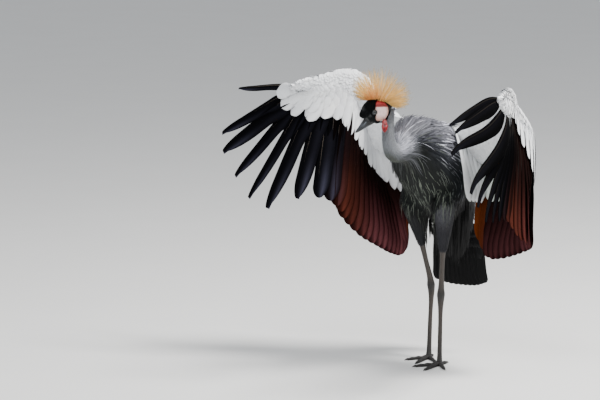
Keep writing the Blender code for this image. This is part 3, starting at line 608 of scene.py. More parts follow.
@dataclass
class Tube:
    """A flesh form: an oval section carried along a path from the head side to the tail side.

    `up` is one direction or one for each path point, and `lie` is the way that feathers lie on
    the form, which is along the path where none is given.
    """

    path: Array
    wide: Array
    deep: Array
    up: Union[tuple, Array] = (0.0, 0.0, 1.0)
    lie: Optional[Array] = None
    samples: int = 90

    def __post_init__(self) -> None:
        """Work out the section at evenly spread places."""
        knots = np.linspace(0.0, 1.0, len(self.path))
        self.s = np.linspace(0.0, 1.0, self.samples)
        self.centre = smooth(knots, self.path, self.s)
        self.w = smooth(knots, self.wide, self.s)
        self.d = smooth(knots, self.deep, self.s)
        self.along = unit(np.gradient(self.centre, axis=0))
        up = np.asarray(self.up, float)
        if up.ndim == 2:
            up = smooth(knots, up, self.s)
        self.side = unit(np.cross(self.along, up))
        self.rise = np.cross(self.side, self.along)
        self.flow = self.along if self.lie is None else unit(smooth(knots, self.lie, self.s))

    def surface(self, s: Array, turn: Array) -> Array:
        """Read points of the surface.

        Args:
            s: 0 to 1 along the form.
            turn: angle round it, 0 on the side direction.

        Returns:
            The points.
        """
        parts = [smooth(self.s, v, s) for v in (self.centre, self.side, self.rise, self.w, self.d)]
        centre, side, rise, wide, deep = parts
        return (centre + side * (np.cos(turn) * wide)[..., None]
                + rise * (np.sin(turn) * deep)[..., None])

    def near(self, points: Array) -> tuple:
        """Measure how far points lie outside the form.

        The nearest section is found and the offset is split into its own directions. With k as
        the length of the offset over the radii and m as its length over the squared radii, the
        height is k (k - 1) / m, which is exact for a round section.

        Args:
            points: array of points.

        Returns:
            Height, outward direction, direction of lie, place along, angle round.
        """
        square = (np.sum(points**2, axis=1)[:, None] - 2.0 * points @ self.centre.T
                  + np.sum(self.centre**2, axis=1)[None])
        index = np.argmin(square, axis=1)
        offset = points - self.centre[index]
        a = np.sum(offset * self.side[index], axis=1)
        b = np.sum(offset * self.rise[index], axis=1)
        c = np.sum(offset * self.along[index], axis=1)
        wide, deep = np.maximum(self.w[index], 1e-4), np.maximum(self.d[index], 1e-4)
        ends = (index == 0) & (c < 0) | (index == self.samples - 1) & (c > 0)
        c = np.where(ends, c, 0.0)
        girth = np.minimum(wide, deep)
        k = np.sqrt((a / wide) ** 2 + (b / deep) ** 2 + (c / girth) ** 2)
        out = (self.side[index] * (a / wide**2)[:, None]
               + self.rise[index] * (b / deep**2)[:, None]
               + self.along[index] * (c / girth**2)[:, None])
        m = np.maximum(np.linalg.norm(out, axis=1), 1e-6)
        return k * (k - 1.0) / m, unit(out), self.flow[index], self.s[index], np.arctan2(
            b / deep, a / wide)

    def sheet(self, sides: int, rows: int, less: float = 0.0) -> "Sheet":
        """Skin the form as a closed sheet, drawn in by a distance."""
        s = np.linspace(0.0, 1.0, rows)
        wide = np.maximum(smooth(self.s, self.w, s) - less, 0.002)
        deep = np.maximum(smooth(self.s, self.d, s) - less, 0.002)
        return tube_sheet(smooth(self.s, self.centre, s), wide, deep, sides,
                          smooth(self.s, self.rise, s))


@dataclass
class Flesh:
    """The smooth field round several tubes, which feathers are combed over."""

    tubes: list
    soft: float = 0.010

    def read(self, points: Array) -> tuple:
        """Blend the tubes' heights and directions.

        The height is minus soft times the logarithm of the sum of exp(-height / soft), so the
        surface rounds off where two forms meet, and directions blend with the same weights.

        Args:
            points: array of points.

        Returns:
            Height, outward direction and direction of lie.
        """
        parts = [tube.near(points) for tube in self.tubes]
        heights = np.stack([p[0] for p in parts])
        least = heights.min(axis=0)
        weights = np.exp(-(heights - least) / self.soft)
        total = weights.sum(axis=0)
        height = least - self.soft * np.log(total)
        share = (weights / total)[..., None]
        out = unit(np.sum(share * np.stack([p[1] for p in parts]), axis=0))
        lie = np.sum(share * np.stack([p[2] for p in parts]), axis=0)
        return height, out, lie

    def comb(self, roots: Array, length: Array, lifts: Array, swing: Array, hang: Array,
             free: float) -> tuple:
        """Run feather middle lines over the surface.

        Each step goes along the lie, turned by the feather's own swing and pulled down by its
        hang, then is set to the height that the row asks for. Past the free share it leaves the
        skin little by little and falls.

        Args:
            roots: starting points.
            length: feather lengths.
            lifts: height above the skin at each row of each feather.
            swing: angle that the feather strays by at each row.
            hang: pull towards the ground.
            free: share of the length that lies on the skin.

        Returns:
            Middle lines, directions across and outward directions, at each row.
        """
        rows = lifts.shape[1]
        spot = roots.copy()
        lines, acrosses, outs = [], [], []
        for row in range(rows):
            height, out, lie = self.read(spot)
            loose = step_up(free, free + 0.35, row / (rows - 1))
            spot = spot + out * ((lifts[:, row] - height) * (1.0 - loose))[:, None]
            lie = lie + DOWN * hang[:, None]
            lie = unit(lie - out * dot(lie, out))
            across = np.cross(out, lie)
            angle = swing[:, row][:, None]
            way = lie * np.cos(angle) + across * np.sin(angle)
            way = unit(way * (1.0 - loose) + (DOWN + 0.35 * way) * loose)
            lines.append(spot)
            acrosses.append(np.cross(out, way))
            outs.append(out)
            spot = spot + way * (length / (rows - 1))[:, None]
        return np.stack(lines, axis=1), np.stack(acrosses, axis=1), np.stack(outs, axis=1)


def scatter(tube: Tube, spacing: float, ends: tuple = (0.0, 1.0)) -> tuple:
    """Spread feather roots evenly over a tube.

    Random places, as dense as the girth asks for, are thinned to one in each cell of a grid.

    Args:
        tube: the flesh form.
        spacing: distance between roots.
        ends: part of the tube that is covered.

    Returns:
        Roots, their places along and their angles round.
    """
    at = np.linspace(ends[0], ends[1], 200)
    girth = np.maximum(smooth(tube.s, tube.w, at) + smooth(tube.s, tube.d, at), 1e-4)
    run = np.sum(np.linalg.norm(np.diff(smooth(tube.s, tube.centre, at), axis=0), axis=1))
    area = math.pi * girth.mean() * run
    count = int(7.0 * area / spacing**2)
    share = np.cumsum(girth)
    s = np.interp(DRAW.random(count), share / share[-1], at)
    turn = DRAW.random(count) * 2.0 * math.pi - math.pi
    points = tube.surface(s, turn)
    cells = np.floor(points / (spacing * 0.93)).astype(np.int64) + 4096
    key = (cells[:, 0] * 8192 + cells[:, 1]) * 8192 + cells[:, 2]
    keep = np.sort(np.unique(key, return_index=True)[1])
    return points[keep], s[keep], turn[keep]


class Outline(Enum):
    """Outline of a small feather from root to tip."""

    LANCE = (0.30, 0.80, 1.00, 0.86, 0.56, 0.10)
    ROUND = (0.45, 0.92, 1.00, 0.98, 0.80, 0.30)
    STRAND = (0.70, 1.00, 0.90, 0.75, 0.50, 0.08)

    def widths(self, rows: int) -> Array:
        """Read the outline at evenly spread rows."""
        at = np.linspace(0.0, 1.0, rows)
        return np.maximum(smooth(np.linspace(0.0, 1.0, len(self.value)), self.value, at), 0.02)


@dataclass
class Coat:
    """Small feathers of one tract."""

    name: str
    roots: Array
    place: Array
    length: Array
    width: Array
    base: Array
    tip: Array
    depth: Array
    swing: float = 0.16
    hang: Array = 0.0
    rows: int = 6
    columns: int = 3
    outline: Outline = Outline.LANCE
    sink: float = 0.002
    fray: float = 0.10
    camber: float = 0.22
    wander: float = 0.0
    edge: float = 0.0
    free: float = 2.0
    vary: Union[float, Array] = 0.14

    def sheet(self, flesh: Flesh) -> Sheet:
        """Comb the feathers over the flesh and blade them.

        Args:
            flesh: field that they lie on.

        Returns:
            The sheet.
        """
        count = len(self.roots)
        t = np.linspace(0.0, 1.0, self.rows)
        lifts = -self.sink + (np.asarray(self.depth) + self.sink)[:, None] * t**0.8
        lifts = lifts * (1.0 + 0.12 * DRAW.standard_normal((count, 1)) * t)
        first = DRAW.standard_normal((count, 1)) * self.swing
        bend = DRAW.standard_normal((count, 1)) * self.wander
        swing = first + bend * np.sin(t * 5.0 + DRAW.random((count, 1)) * 6.0)
        hang = np.broadcast_to(np.asarray(self.hang, float), (count,))
        centre, across, out = flesh.comb(self.roots, self.length, lifts, swing, hang,
                                           self.free)
        half = self.outline.widths(self.rows) * self.width[:, None]
        left = half * (1.0 + self.fray * DRAW.standard_normal(half.shape))
        right = half * (1.0 + self.fray * DRAW.standard_normal(half.shape))
        blades = Blades(centre, across, out, np.maximum(left, 1e-4), np.maximum(right, 1e-4),
                        self.columns, self.camber)
        tone = 1.0 + np.reshape(self.vary, (-1, 1, 1, 1)) * DRAW.standard_normal((count, 1, 1, 1))

        def colour(x: Array, y: Array, face: Array) -> Array:
            """Grade each feather from its darker base to its tip, paler at the edges; the darker base is
            partly the feather's own colour and partly painted shade under its neighbours.
            """
            share = np.clip(y**0.8 + self.edge * np.abs(x) * (y > 0.2), 0.0, 1.0)
            return np.clip(mixed(self.base[:, None, None], self.tip[:, None, None], share)
                           * np.clip(tone, 0.6, 1.5), 0.0, 1.0)

        return blades.sheet(colour, lambda x, y, face: patch_at(self.place, x, y))


@dataclass
class Trunk:
    """Torso, neck, thighs and wing arms: one skin with its coat."""

    arms: list
    torso_path: tuple = ((-0.215, 0.655), (-0.195, 0.655), (-0.150, 0.645), (-0.090, 0.618),
                         (-0.030, 0.583), (0.025, 0.540), (0.070, 0.490), (0.105, 0.437),
                         (0.122, 0.400), (0.130, 0.382))
    torso_wide: tuple = (0.020, 0.044, 0.074, 0.094, 0.100, 0.097, 0.084, 0.060, 0.038, 0.016)
    torso_deep: tuple = (0.022, 0.046, 0.076, 0.100, 0.112, 0.108, 0.090, 0.060, 0.034, 0.014)
    neck_path: tuple = ((-0.009, -0.277, 0.756), (-0.010, -0.280, 0.712), (-0.008, -0.283, 0.672),
                        (-0.007, -0.269, 0.642), (-0.005, -0.243, 0.630), (-0.001, -0.200, 0.645),
                        (0.000, -0.150, 0.665))
    neck_radius: tuple = (0.0165, 0.0175, 0.0190, 0.0225, 0.030, 0.044, 0.056)
    ankles: tuple = ((0.030, -0.020, 0.202), (-0.043, 0.070, 0.212))
    knees: tuple = ((0.060, -0.062, 0.450), (-0.062, -0.012, 0.447))
    hips: tuple = ((0.050, 0.000, 0.520), (-0.052, 0.020, 0.515))
    thigh_radius: tuple = (0.044, 0.036, 0.0315, 0.023, 0.0135)
    torso_coat: float = 0.012
    neck_coat: float = 0.0035
    thigh_coat: float = 0.004

    def __post_init__(self) -> None:
        """Set the flesh forms inside the solids by the coat's depth."""
        path = np.array([(0.0, y, z) for y, z in self.torso_path])
        thin = np.minimum(self.torso_coat, np.array(self.torso_wide) * 0.3)
        self.torso = Tube(path, np.array(self.torso_wide) - thin, np.array(self.torso_deep) - thin)
        less = self.neck_coat + 0.006 * step_up(0.45, 0.9, np.linspace(0.0, 1.0, 7))
        self.neck = Tube(np.array(self.neck_path), np.array(self.neck_radius) - less,
                         np.array(self.neck_radius) - less, up=(1.0, 0.0, 0.0))
        self.thighs = []
        for ankle, knee, hip in zip(*map(np.array, (self.ankles, self.knees, self.hips))):
            bare = ankle + (knee - ankle) * 0.54
            line = np.array([hip, knee + (hip - knee) * 0.35, knee, (knee + bare) / 2, bare])
            radius = np.array(self.thigh_radius) - self.thigh_coat
            self.thighs.append(Tube(line, radius, radius * 1.08, up=(0.0, -1.0, 0.0)))
        self.tubes = [self.torso, self.neck] + self.thighs + self.arms
        self.flesh = Flesh(self.tubes)

    def skin(self, material: bpy.types.Material) -> bpy.types.Object:
        """Fuse the flesh forms into one skin with no seam.

        The closed forms are remeshed together on a fine grid, smoothed and painted with the
        colours of the coat over them.

        Args:
            material: skin material.

        Returns:
            The skin.
        """
        forms = [tube.sheet(sides, 60, less) for tube, sides, less in
                 zip(self.tubes, (40, 28, 24, 24, 32, 32), (0.0, 0.0, 0.0, 0.0, 0.0025, 0.0025))]
        piece = forms[0].joined(*forms[1:]).build(
            "skin", material, "torso", ("torso", "neck", "thigh_left", "thigh_right"), weld=True)
        remesh = piece.modifiers.new("fuse", "REMESH")
        remesh.mode = "VOXEL"
        remesh.voxel_size = 0.0034
        relax = piece.modifiers.new("relax", "SMOOTH")
        relax.factor = 0.6
        relax.iterations = 8
        graph = bpy.context.evaluated_depsgraph_get()
        fused = bpy.data.meshes.new_from_object(piece.evaluated_get(graph))
        piece.modifiers.clear()
        piece.data = fused
        count = len(fused.vertices)
        points = np.empty(count * 3, dtype=np.float32)
        fused.vertices.foreach_get("co", points)
        points = points.reshape(-1, 3) - ORIGIN
        colour = fused.attributes.new("Marking", "FLOAT_COLOR", "POINT")
        paint = np.concatenate([self.paint(points), np.ones((count, 1))], axis=1)
        colour.data.foreach_set("color", paint.astype(np.float32).ravel())
        fused.polygons.foreach_set("use_smooth", np.ones(len(fused.polygons), dtype=bool))
        LOG.info("skin fused: %d faces", len(fused.polygons))
        return piece

    def paint(self, points: Array) -> Array:
        """Read the coat's base colour at points of the skin."""
        colour = self.colours(points)[0]
        for thigh in self.thighs:
            near = thigh.near(points)[0]
            colour = mixed(colour, Plumage.THIGH_DARK, step_up(0.010, -0.002, near))
        for arm in self.arms:
            height, out, lie, s, turn = arm.near(points)
            share = step_up(0.012, -0.002, height)
            # The arm skin takes the coverts' darkened base, painted shade under them.
            colour = mixed(colour, Plumage.COVERT * 0.8, share)
        return colour

    def colours(self, points: Array) -> tuple:
        """Read the base and tip colour of body feathers at places of the trunk.

        The back is pale lilac grey with dark bases, the breast is black, dark plumage deepened
        with painted shade, and the flanks are slate between them. All of it darkens to black
        towards the rump, dark plumage deepened with painted shade there too. The neck is plain
        grey and ends in a pale cape, painted paler at the rear where light falls and greyer and
        olive at the front as painted shade.

        Args:
            points: roots of the feathers.

        Returns:
            Base colours and tip colours.
        """
        height, out, lie, s, turn = self.torso.near(points)
        dorsal = np.sin(turn)
        back = step_up(-0.35, 0.55, dorsal)
        belly = step_up(-0.05, -0.75, dorsal)
        # The breast's near black is dark plumage deepened with painted shade.
        base = mixed(mixed(Plumage.FLANK, Plumage.MANTLE_DARK, back), Plumage.BREAST_AND_SHADE, belly)
        tip = mixed(mixed(Plumage.FLANK * 2.0, Plumage.MANTLE * 0.22, back), Plumage.BREAST_AND_SHADE * 2.2,
                    belly)
        # Towards the rump everything darkens to black: dark plumage deepened with painted shade.
        late = step_up(0.40, 0.62, s)
        base, tip = mixed(base, Plumage.RUMP_AND_SHADE * 0.7, late), mixed(tip, Plumage.RUMP_AND_SHADE * 1.6, late)
        near, out, lie, along, turn = self.neck.near(points)
        share = step_up(0.010, 0.000, near) * step_up(0.78, 0.66, along)
        cape = step_up(0.40, 0.62, along)
        # Painted light: the cape is paler on its rear, which faces the light, and greyer on its front as
        # painted shade.
        lit_rear = step_up(-0.35, 0.75, out @ np.array((0.15, 0.50, 0.85)))
        grey = mixed(Plumage.NECK_DARK, mixed(Plumage.CAPE_SHADE * 0.35, Plumage.CAPE_DARK, lit_rear),
                     cape)
        pale = mixed(Plumage.NECK, mixed(Plumage.CAPE_SHADE, Plumage.CAPE, lit_rear), cape)
        # Painted shade: the lower front of the neck, facing away from the light, turns olive.
        facing = out @ np.array((0.15, 0.50, 0.85))
        front_shade = 0.75 * step_up(-0.45, -0.90, facing) * step_up(0.34, 0.52, along)
        pale = mixed(pale, Plumage.SHADE_OLIVE, front_shade)
        return mixed(base, grey, share), mixed(tip, pale, share)

    def unwrap(self, s: Array, turn: Array, island: int) -> Array:
        """Place roots on the unwrap: each form is a column, angle across and length up."""
        columns = ((0.02, 0.40), (0.44, 0.16), (0.62, 0.08), (0.72, 0.08), (0.82, 0.08),
                   (0.91, 0.08))
        start, wide = columns[island]
        u = start + wide * (turn / (2.0 * math.pi) + 0.5)
        return np.stack([u, 0.02 + 0.95 * np.clip(s, 0.0, 1.0)], axis=-1)

    def roots(self, island: int, spacing: float, ends: tuple, slack: float = -0.003) -> tuple:
        """Scatter roots over one form, without those that another form buries.

        Args:
            island: number of the form.
            spacing: distance between roots.
            ends: part of the form that is covered.
            slack: height over the other forms that roots may go down to.

        Returns:
            Roots, places along, angles round and places on the unwrap.
        """
        points, s, turn = scatter(self.tubes[island], spacing, ends)
        others = [t.near(points)[0] for i, t in enumerate(self.tubes) if i != island]
        keep = np.min(others, axis=0) > slack
        points, s, turn = points[keep], s[keep], turn[keep]
        return points, s, turn, self.unwrap(s, turn, island)

    def torso_coats(self) -> list:
        """List the close dark feathers of back and breast."""
        points, s, turn, place = self.roots(0, 0.0062, (0.0, 0.99))
        base, tip = self.colours(points)
        dorsal = np.sin(turn)
        count = len(s)
        length = 0.046 + 0.020 * step_up(0.05, 0.35, s) + 0.020 * step_up(0.5, 0.9, s)
        length = length * DRAW.uniform(0.85, 1.15, count)
        width = 0.0026 + 0.0016 * step_up(0.15, 0.7, s)
        depth = 0.007 * step_up(-0.05, 0.15, s) + 0.004
        hang = 0.25 * step_up(0.1, -0.6, dorsal)
        coats = []
        for name, side in (("back_coat", dorsal > 0.0), ("breast_coat", dorsal <= 0.0)):
            coats.append(Coat(name, points[side], place[side], length[side], width[side],
                              base[side], tip[side], depth[side], swing=0.09, hang=hang[side],
                              fray=0.10, wander=0.06, edge=0.3))
        return coats

    def plumes(self) -> list:
        """List the long pale plumes that leave dark gaps between them.

        They are broad on the back and thin to threads on the breast.
        """
        coats = []
        for name, island, spacing, ends, wide in (
                ("mantle_plumes", 0, 0.0092, (0.0, 0.62), 0.0034),
                ("cape_plumes", 1, 0.0070, (0.52, 0.98), 0.0026)):
            points, s, turn, place = self.roots(island, spacing, ends, 0.0)
            dorsal = np.sin(self.torso.near(points)[4])
            along = self.neck.near(points)[3]
            low = step_up(0.25, -0.75, dorsal)
            keep = DRAW.random(len(s)) < 0.40 - 0.13 * (island == 0) * (1.0 - low) - 0.06 * low
            keep = keep & ((island == 0) | (dorsal > -0.4) | (along < 0.74))
            points, s, dorsal, low, place = (v[keep] for v in (points, s, dorsal, low, place))
            count = len(s)
            pale = mixed(Plumage.MANTLE, Plumage.FLANK_PALE, step_up(0.0, 0.55, low))
            pale = mixed(pale, Plumage.BREAST_PALE, step_up(0.5, 1.0, low))
            if island == 1:
                late = step_up(0.68, 0.78, along[keep]) * step_up(0.3, 0.7, low)
                pale = mixed(self.colours(points)[1], Plumage.BREAST_PALE, late)
            # Mantle plumes darken towards the rump: dark plumage deepened with painted shade.
            late = 1.0 - 0.88 * step_up(0.38, 0.58, s) * (island == 0)
            pale = pale * (late * DRAW.uniform(0.55, 1.08, count))[:, None]
            dark = self.colours(points)[0]
            length = DRAW.uniform(0.070, 0.105, count) + 0.035 * low * DRAW.random(count)
            coats.append(Coat(name, points, place, length, wide - (wide - 0.0009) * step_up(0, 0.8, low),
                              mixed(dark, pale, np.full(count, 0.35)), np.clip(pale, 0, 1),
                              DRAW.uniform(0.0105, 0.0140, count), swing=0.07,
                              hang=0.30 * step_up(0.5, 1.0, low), rows=10, columns=3,
                              outline=Outline.LANCE, fray=0.04, camber=0.1, wander=0.10))
        return coats

    def vent(self) -> Coat:
        """Long black feathers that hang from belly and rump round the tail's base."""
        points, s, turn, place = self.roots(0, 0.0046, (0.42, 1.0), -0.01)
        between = (points[:, 1] > -0.005) & (np.abs(points[:, 0] + 0.006) < 0.024)
        rest = (points[:, 1] > 0.048) | (np.sin(turn) > 0.1)
        keep = between | (rest & (DRAW.random(len(s)) < 0.5))
        points, s, turn, place = points[keep], s[keep], turn[keep], place[keep]
        dorsal = np.sin(turn)
        count = len(s)
        under = step_up(0.2, -0.3, dorsal)
        length = DRAW.uniform(0.085, 0.115, count) + under * DRAW.uniform(0.04, 0.08, count)
        length = length * (0.76 + 0.24 * step_up(-0.024, -0.012, points[:, 0]))
        # Vent and rump feathers are black: dark plumage deepened with painted shade.
        black = np.broadcast_to(Plumage.RUMP_AND_SHADE, (count, 3))
        flank = step_up(0.45, 0.9, np.cos(turn) * np.sign(points[:, 0] * np.cos(turn)))
        return Coat("vent_coat", points, place, length, np.full(count, 0.0050), black * 0.7,
                    black * 1.3, DRAW.uniform(0.010, 0.016, count) + 0.013 * flank, swing=0.14,
                    hang=0.55 * step_up(0.5, -0.5, dorsal), rows=9, fray=0.10, wander=0.08,
                    free=0.18)

    def neck_coats(self) -> list:
        """Short close feathers of the neck, longer where the cape begins."""
        points, s, turn, place = self.roots(1, 0.0020, (0.0, 0.84))
        base, tip = self.colours(points)
        low = step_up(0.42, 0.78, s)
        keep = DRAW.random(len(s)) > 0.55 * low
        points, base, tip, low, place = (v[keep] for v in (points, base, tip, low, place))
        count = len(low)
        return [Coat("neck_coat", points, place, 0.0095 + 0.030 * low + 0.003 * DRAW.random(count),
                     0.0008 + 0.0012 * low, base, tip, np.full(count, 0.0030) + 0.004 * low,
                     swing=0.10, rows=5, fray=0.12, edge=0.3, vary=0.12 + 0.22 * low)]

    def thigh_coats(self) -> list:
        """Velvety feathers of both thighs, with a painted highlight on the left one and painted shade on the
        right one.
        """
        coats = []
        for island, (label, thigh) in enumerate(zip(("left", "right"), self.thighs)):
            points, s, turn, place = self.roots(2 + island, 0.0027, (0.10, 1.0), -0.006)
            count = len(s)
            front = np.array((0.35, -0.93, 0.0))
            facing = points @ front - smooth(thigh.s, thigh.centre, s) @ front
            # Painted highlight: the left thigh's upper front, facing the light, gets paler lilac tips.
            lit = step_up(0.0, 0.02, facing) * step_up(0.75, 0.25, s) * (label == "left")
            base = mixed(Plumage.THIGH_DARK, Plumage.THIGH, lit * 0.5)
            tip = mixed(Plumage.THIGH * 0.8, Plumage.THIGH_LIT, lit * 0.75)
            # Painted shade: the right thigh's tips are darkened, as it lies away from the light.
            if label == "right":
                tip = tip * 0.6
            length = 0.017 - 0.008 * s + 0.003 * DRAW.random(count)
            coats.append(Coat("thigh_%s_coat" % label, points, place, length,
                              0.0017 - 0.0006 * s, base, tip, np.full(count, 0.0034),
                              swing=0.16, rows=5, fray=0.15))
        return coats

    def arm_coats(self) -> list:
        """Small white coverts over both arms."""
        coats = []
        for island, (label, arm) in enumerate(zip(("left", "right"), self.arms)):
            points, s, turn, place = self.roots(4 + island, 0.0062, (0.0, 1.0))
            height, out, lie, s, turn = arm.near(points)
            chord = np.sum((points - smooth(arm.s, arm.centre, s)) * lie, axis=1)
            chord = chord / smooth(arm.s, arm.w, s)
            keep = chord < 0.55 + 0.5 * step_up(0.20, 0.05, s)
            points, s, chord, place = points[keep], s[keep], chord[keep], place[keep]
            count = len(s)
            white = np.broadcast_to(Plumage.COVERT, (count, 3))
            hand = step_up(0.60, 0.85, s)
            length = (0.019 + 0.014 * step_up(-0.8, 0.4, chord)) * (1.0 - 0.15 * hand)
            # Painted shade: the white coverts' bases are painted darker, as shade under the overlapping
            # ones.
            coats.append(Coat("wing_%s_lesser_coverts" % label, points, place,
                              length * DRAW.uniform(0.9, 1.1, count),
                              0.0064 - 0.0012 * hand, white * 0.8, white,
                              np.full(count, 0.0024), swing=0.07, rows=6,
                              outline=Outline.ROUND, fray=0.02, camber=0.12, edge=0.15,
                              vary=0.05 + 0.13 * (label == "left") * step_up(0.1, -0.3, np.sin(turn[keep]))))
        return coats

    def build(self, skin: bpy.types.Material, down: bpy.types.Material,
              covert: bpy.types.Material) -> None:
        """Make the skin and every coat of the trunk."""
        self.skin(skin)
        slots = {"neck_coat": "neck", "cape_plumes": "neck", "thigh_left_coat": "thigh_left",
                 "thigh_right_coat": "thigh_right", "wing_left_lesser_coverts": "wing_left_inner",
                 "wing_right_lesser_coverts": "wing_right_inner"}
        coats = (self.torso_coats() + self.plumes() + [self.vent()] + self.neck_coats()
                 + self.thigh_coats() + self.arm_coats())
        for coat in coats:
            material = covert if "covert" in coat.name else down
            coat.sheet(self.flesh).build(coat.name, material, slots.get(coat.name, "torso"))


@dataclass
class Fan:
    """The curved surface that a wing's or tail's large feathers lie in."""

    side: int
    roots: tuple
    edges: tuple
    tips: tuple
    bows: tuple
    thick: tuple

    def point(self, place: Array, reach: Array) -> Array:
        """Read points of the fan.

        A point is the root plus reach times the way to the tip, plus the bow times
        6.75 reach (1 - reach) squared.

        Args:
            place: feather number.
            reach: 0 at the roots to 1 at the tips.

        Returns:
            The points.
        """
        place, reach = np.broadcast_arrays(np.asarray(place, float), np.asarray(reach, float))
        root = smooth(*self.roots, place)
        tip = smooth(*self.tips, np.clip(place, -0.5, self.tips[0][-1] + 0.5))
        bow = smooth(*self.bows, np.clip(place, self.bows[0][0], self.bows[0][-1]))
        bend = 6.75 * reach * (1.0 - reach) ** 2
        return root + (tip - root) * reach[..., None] + bow * bend[..., None]

    def frame(self, place: Array, reach: Array) -> tuple:
        """Read the directions along a feather, towards place 0 and out of the upper side."""
        along = unit(self.point(place, reach + 0.02) - self.point(place, reach - 0.02))
        outward = self.point(place - 0.3, reach) - self.point(place + 0.3, reach)
        outward = unit(outward - along * dot(outward, along))
        return along, outward, unit(np.cross(outward, along)) * self.side


@dataclass
class FlightShape:
    """Outline of large feathers: widths, the notch of fingered ones and the lean of the tip."""

    half: Array
    notch: Array
    round_from: Array
    lean: Array
    twist: Array
    sharp: Array
    lift: float = 0.0026
    rows: int = 32
    columns: int = 9

    def blades(self, fan: Fan, numbers: Array) -> Blades:
        """Lay the feathers of a fan.

        The half width grows from the quill to a fifth of the length, and the trailing one drops
        by the notch before the middle. Towards the tip the trailing edge draws in by a curve that
        is round where sharp is a half and pointed where it is near 1. It passes the middle line
        by the lean, so that the tip stands at the leading edge. Each blade is tilted so that its leading edge lies over its neighbour, most where it is bare,
        and fingered ones twist back.

        Args:
            fan: the surface.
            numbers: feather places.

        Returns:
            The blades.
        """
        t = 1.0 - (1.0 - np.linspace(0.0, 1.0, self.rows)) ** 1.9
        t = (0.02 + 0.98 * t) + np.zeros((len(numbers), 1))
        place = numbers[:, None] + np.zeros_like(t)
        along, outward, upper = fan.frame(place, t)
        gaps = fan.point(place - 0.5, t) - fan.point(place + 0.5, t)
        spacing = np.abs(np.sum(gaps * outward, axis=-1))
        body = smooth((0.0, 0.06, 0.2, 0.5, 0.8, 1.0), (0.10, 0.34, 0.92, 1.0, 0.98, 0.95), t)
        body = np.minimum(body * self.half[:, None], 1.7 * spacing + 0.005)
        from_ = self.round_from[:, None]
        over = np.clip((t - from_) / (1.0 - from_), 0.0, 1.0)
        late = np.clip((t - 0.5 * (1.0 + from_)) / (0.5 * (1.0 - from_)), 0.0, 1.0)
        lean = self.lean[:, None]
        sharp = self.sharp[:, None]
        lead = body * (lean + (1.0 - lean) * (1.0 - late**1.8) ** sharp)
        narrow = 1.0 - self.notch[:, None] * step_up(0.36, 0.48, t)
        trail = body * ((narrow + lean) * (1.0 - over**1.9) ** sharp - lean)
        before, after = fan.frame(place - 0.5, t)[2], fan.frame(place + 0.5, t)[2]
        bend = np.arccos(np.clip(np.sum(before * after, axis=-1), -1.0, 1.0))
        cover = np.maximum(body - spacing / 2, 0.0)
        tilt = np.arctan((self.lift + bend * cover) / np.maximum(spacing, 0.004))
        tilt = np.clip(tilt, 0.03, 0.36) * (0.12 + 0.88 * step_up(0.34, 0.66, t))
        tilt = tilt - self.twist[:, None] * step_up(0.18, 0.55, t)
        across = outward * np.cos(tilt)[..., None] + upper * np.sin(tilt)[..., None]
        normal = np.cross(across, along) * fan.side
        return Blades(fan.point(place, t), across, normal, trail, lead, self.columns, 0.08, 0.0005)


def shaft_sheet(blades: Blades, shift: Array, radius: float, colour: Array) -> Sheet:
    """Raise a feather's shaft as a thin four-sided rod on both faces.

    Args:
        blades: the feathers.
        shift: share of the half width that the shaft stands towards place 0.
        radius: radius at the quill.
        colour: shaft colour.

    Returns:
        The sheet.
    """
    count, rows = blades.left.shape
    t = np.linspace(0.0, 1.0, rows)
    size = radius * (1.0 - 0.82 * t) * np.ones((count, 1))
    off = (blades.right - blades.left + (blades.right + blades.left) * shift[:, None]) / 2
    middle = blades.centre + blades.across * off[..., None]
    spots = []
    for a, b in ((1.0, 0.0), (0.0, 1.0), (-1.0, 0.0), (0.0, -1.0)):
        spots.append(middle + blades.across * (size * a * 0.8)[..., None]
                     + blades.normal * (size * b)[..., None])
    points = np.stack(spots, axis=2)
    shade = np.broadcast_to(colour, (count, rows, 4, 3)) * (1.0 - 0.5 * t)[None, :, None, None]
    x = np.full((count, rows, 4), 0.98)
    y = np.broadcast_to(t[None, :, None], (count, rows, 4))
    vane = np.stack([x * 0.0, y * 0.2], axis=-1)
    return Sheet(points.reshape(-1, 3), grid_faces(count, rows, 4, True), shade.reshape(-1, 3),
                 vane.reshape(-1, 2), strip_at(count, x, y, 0.0).reshape(-1, 2))


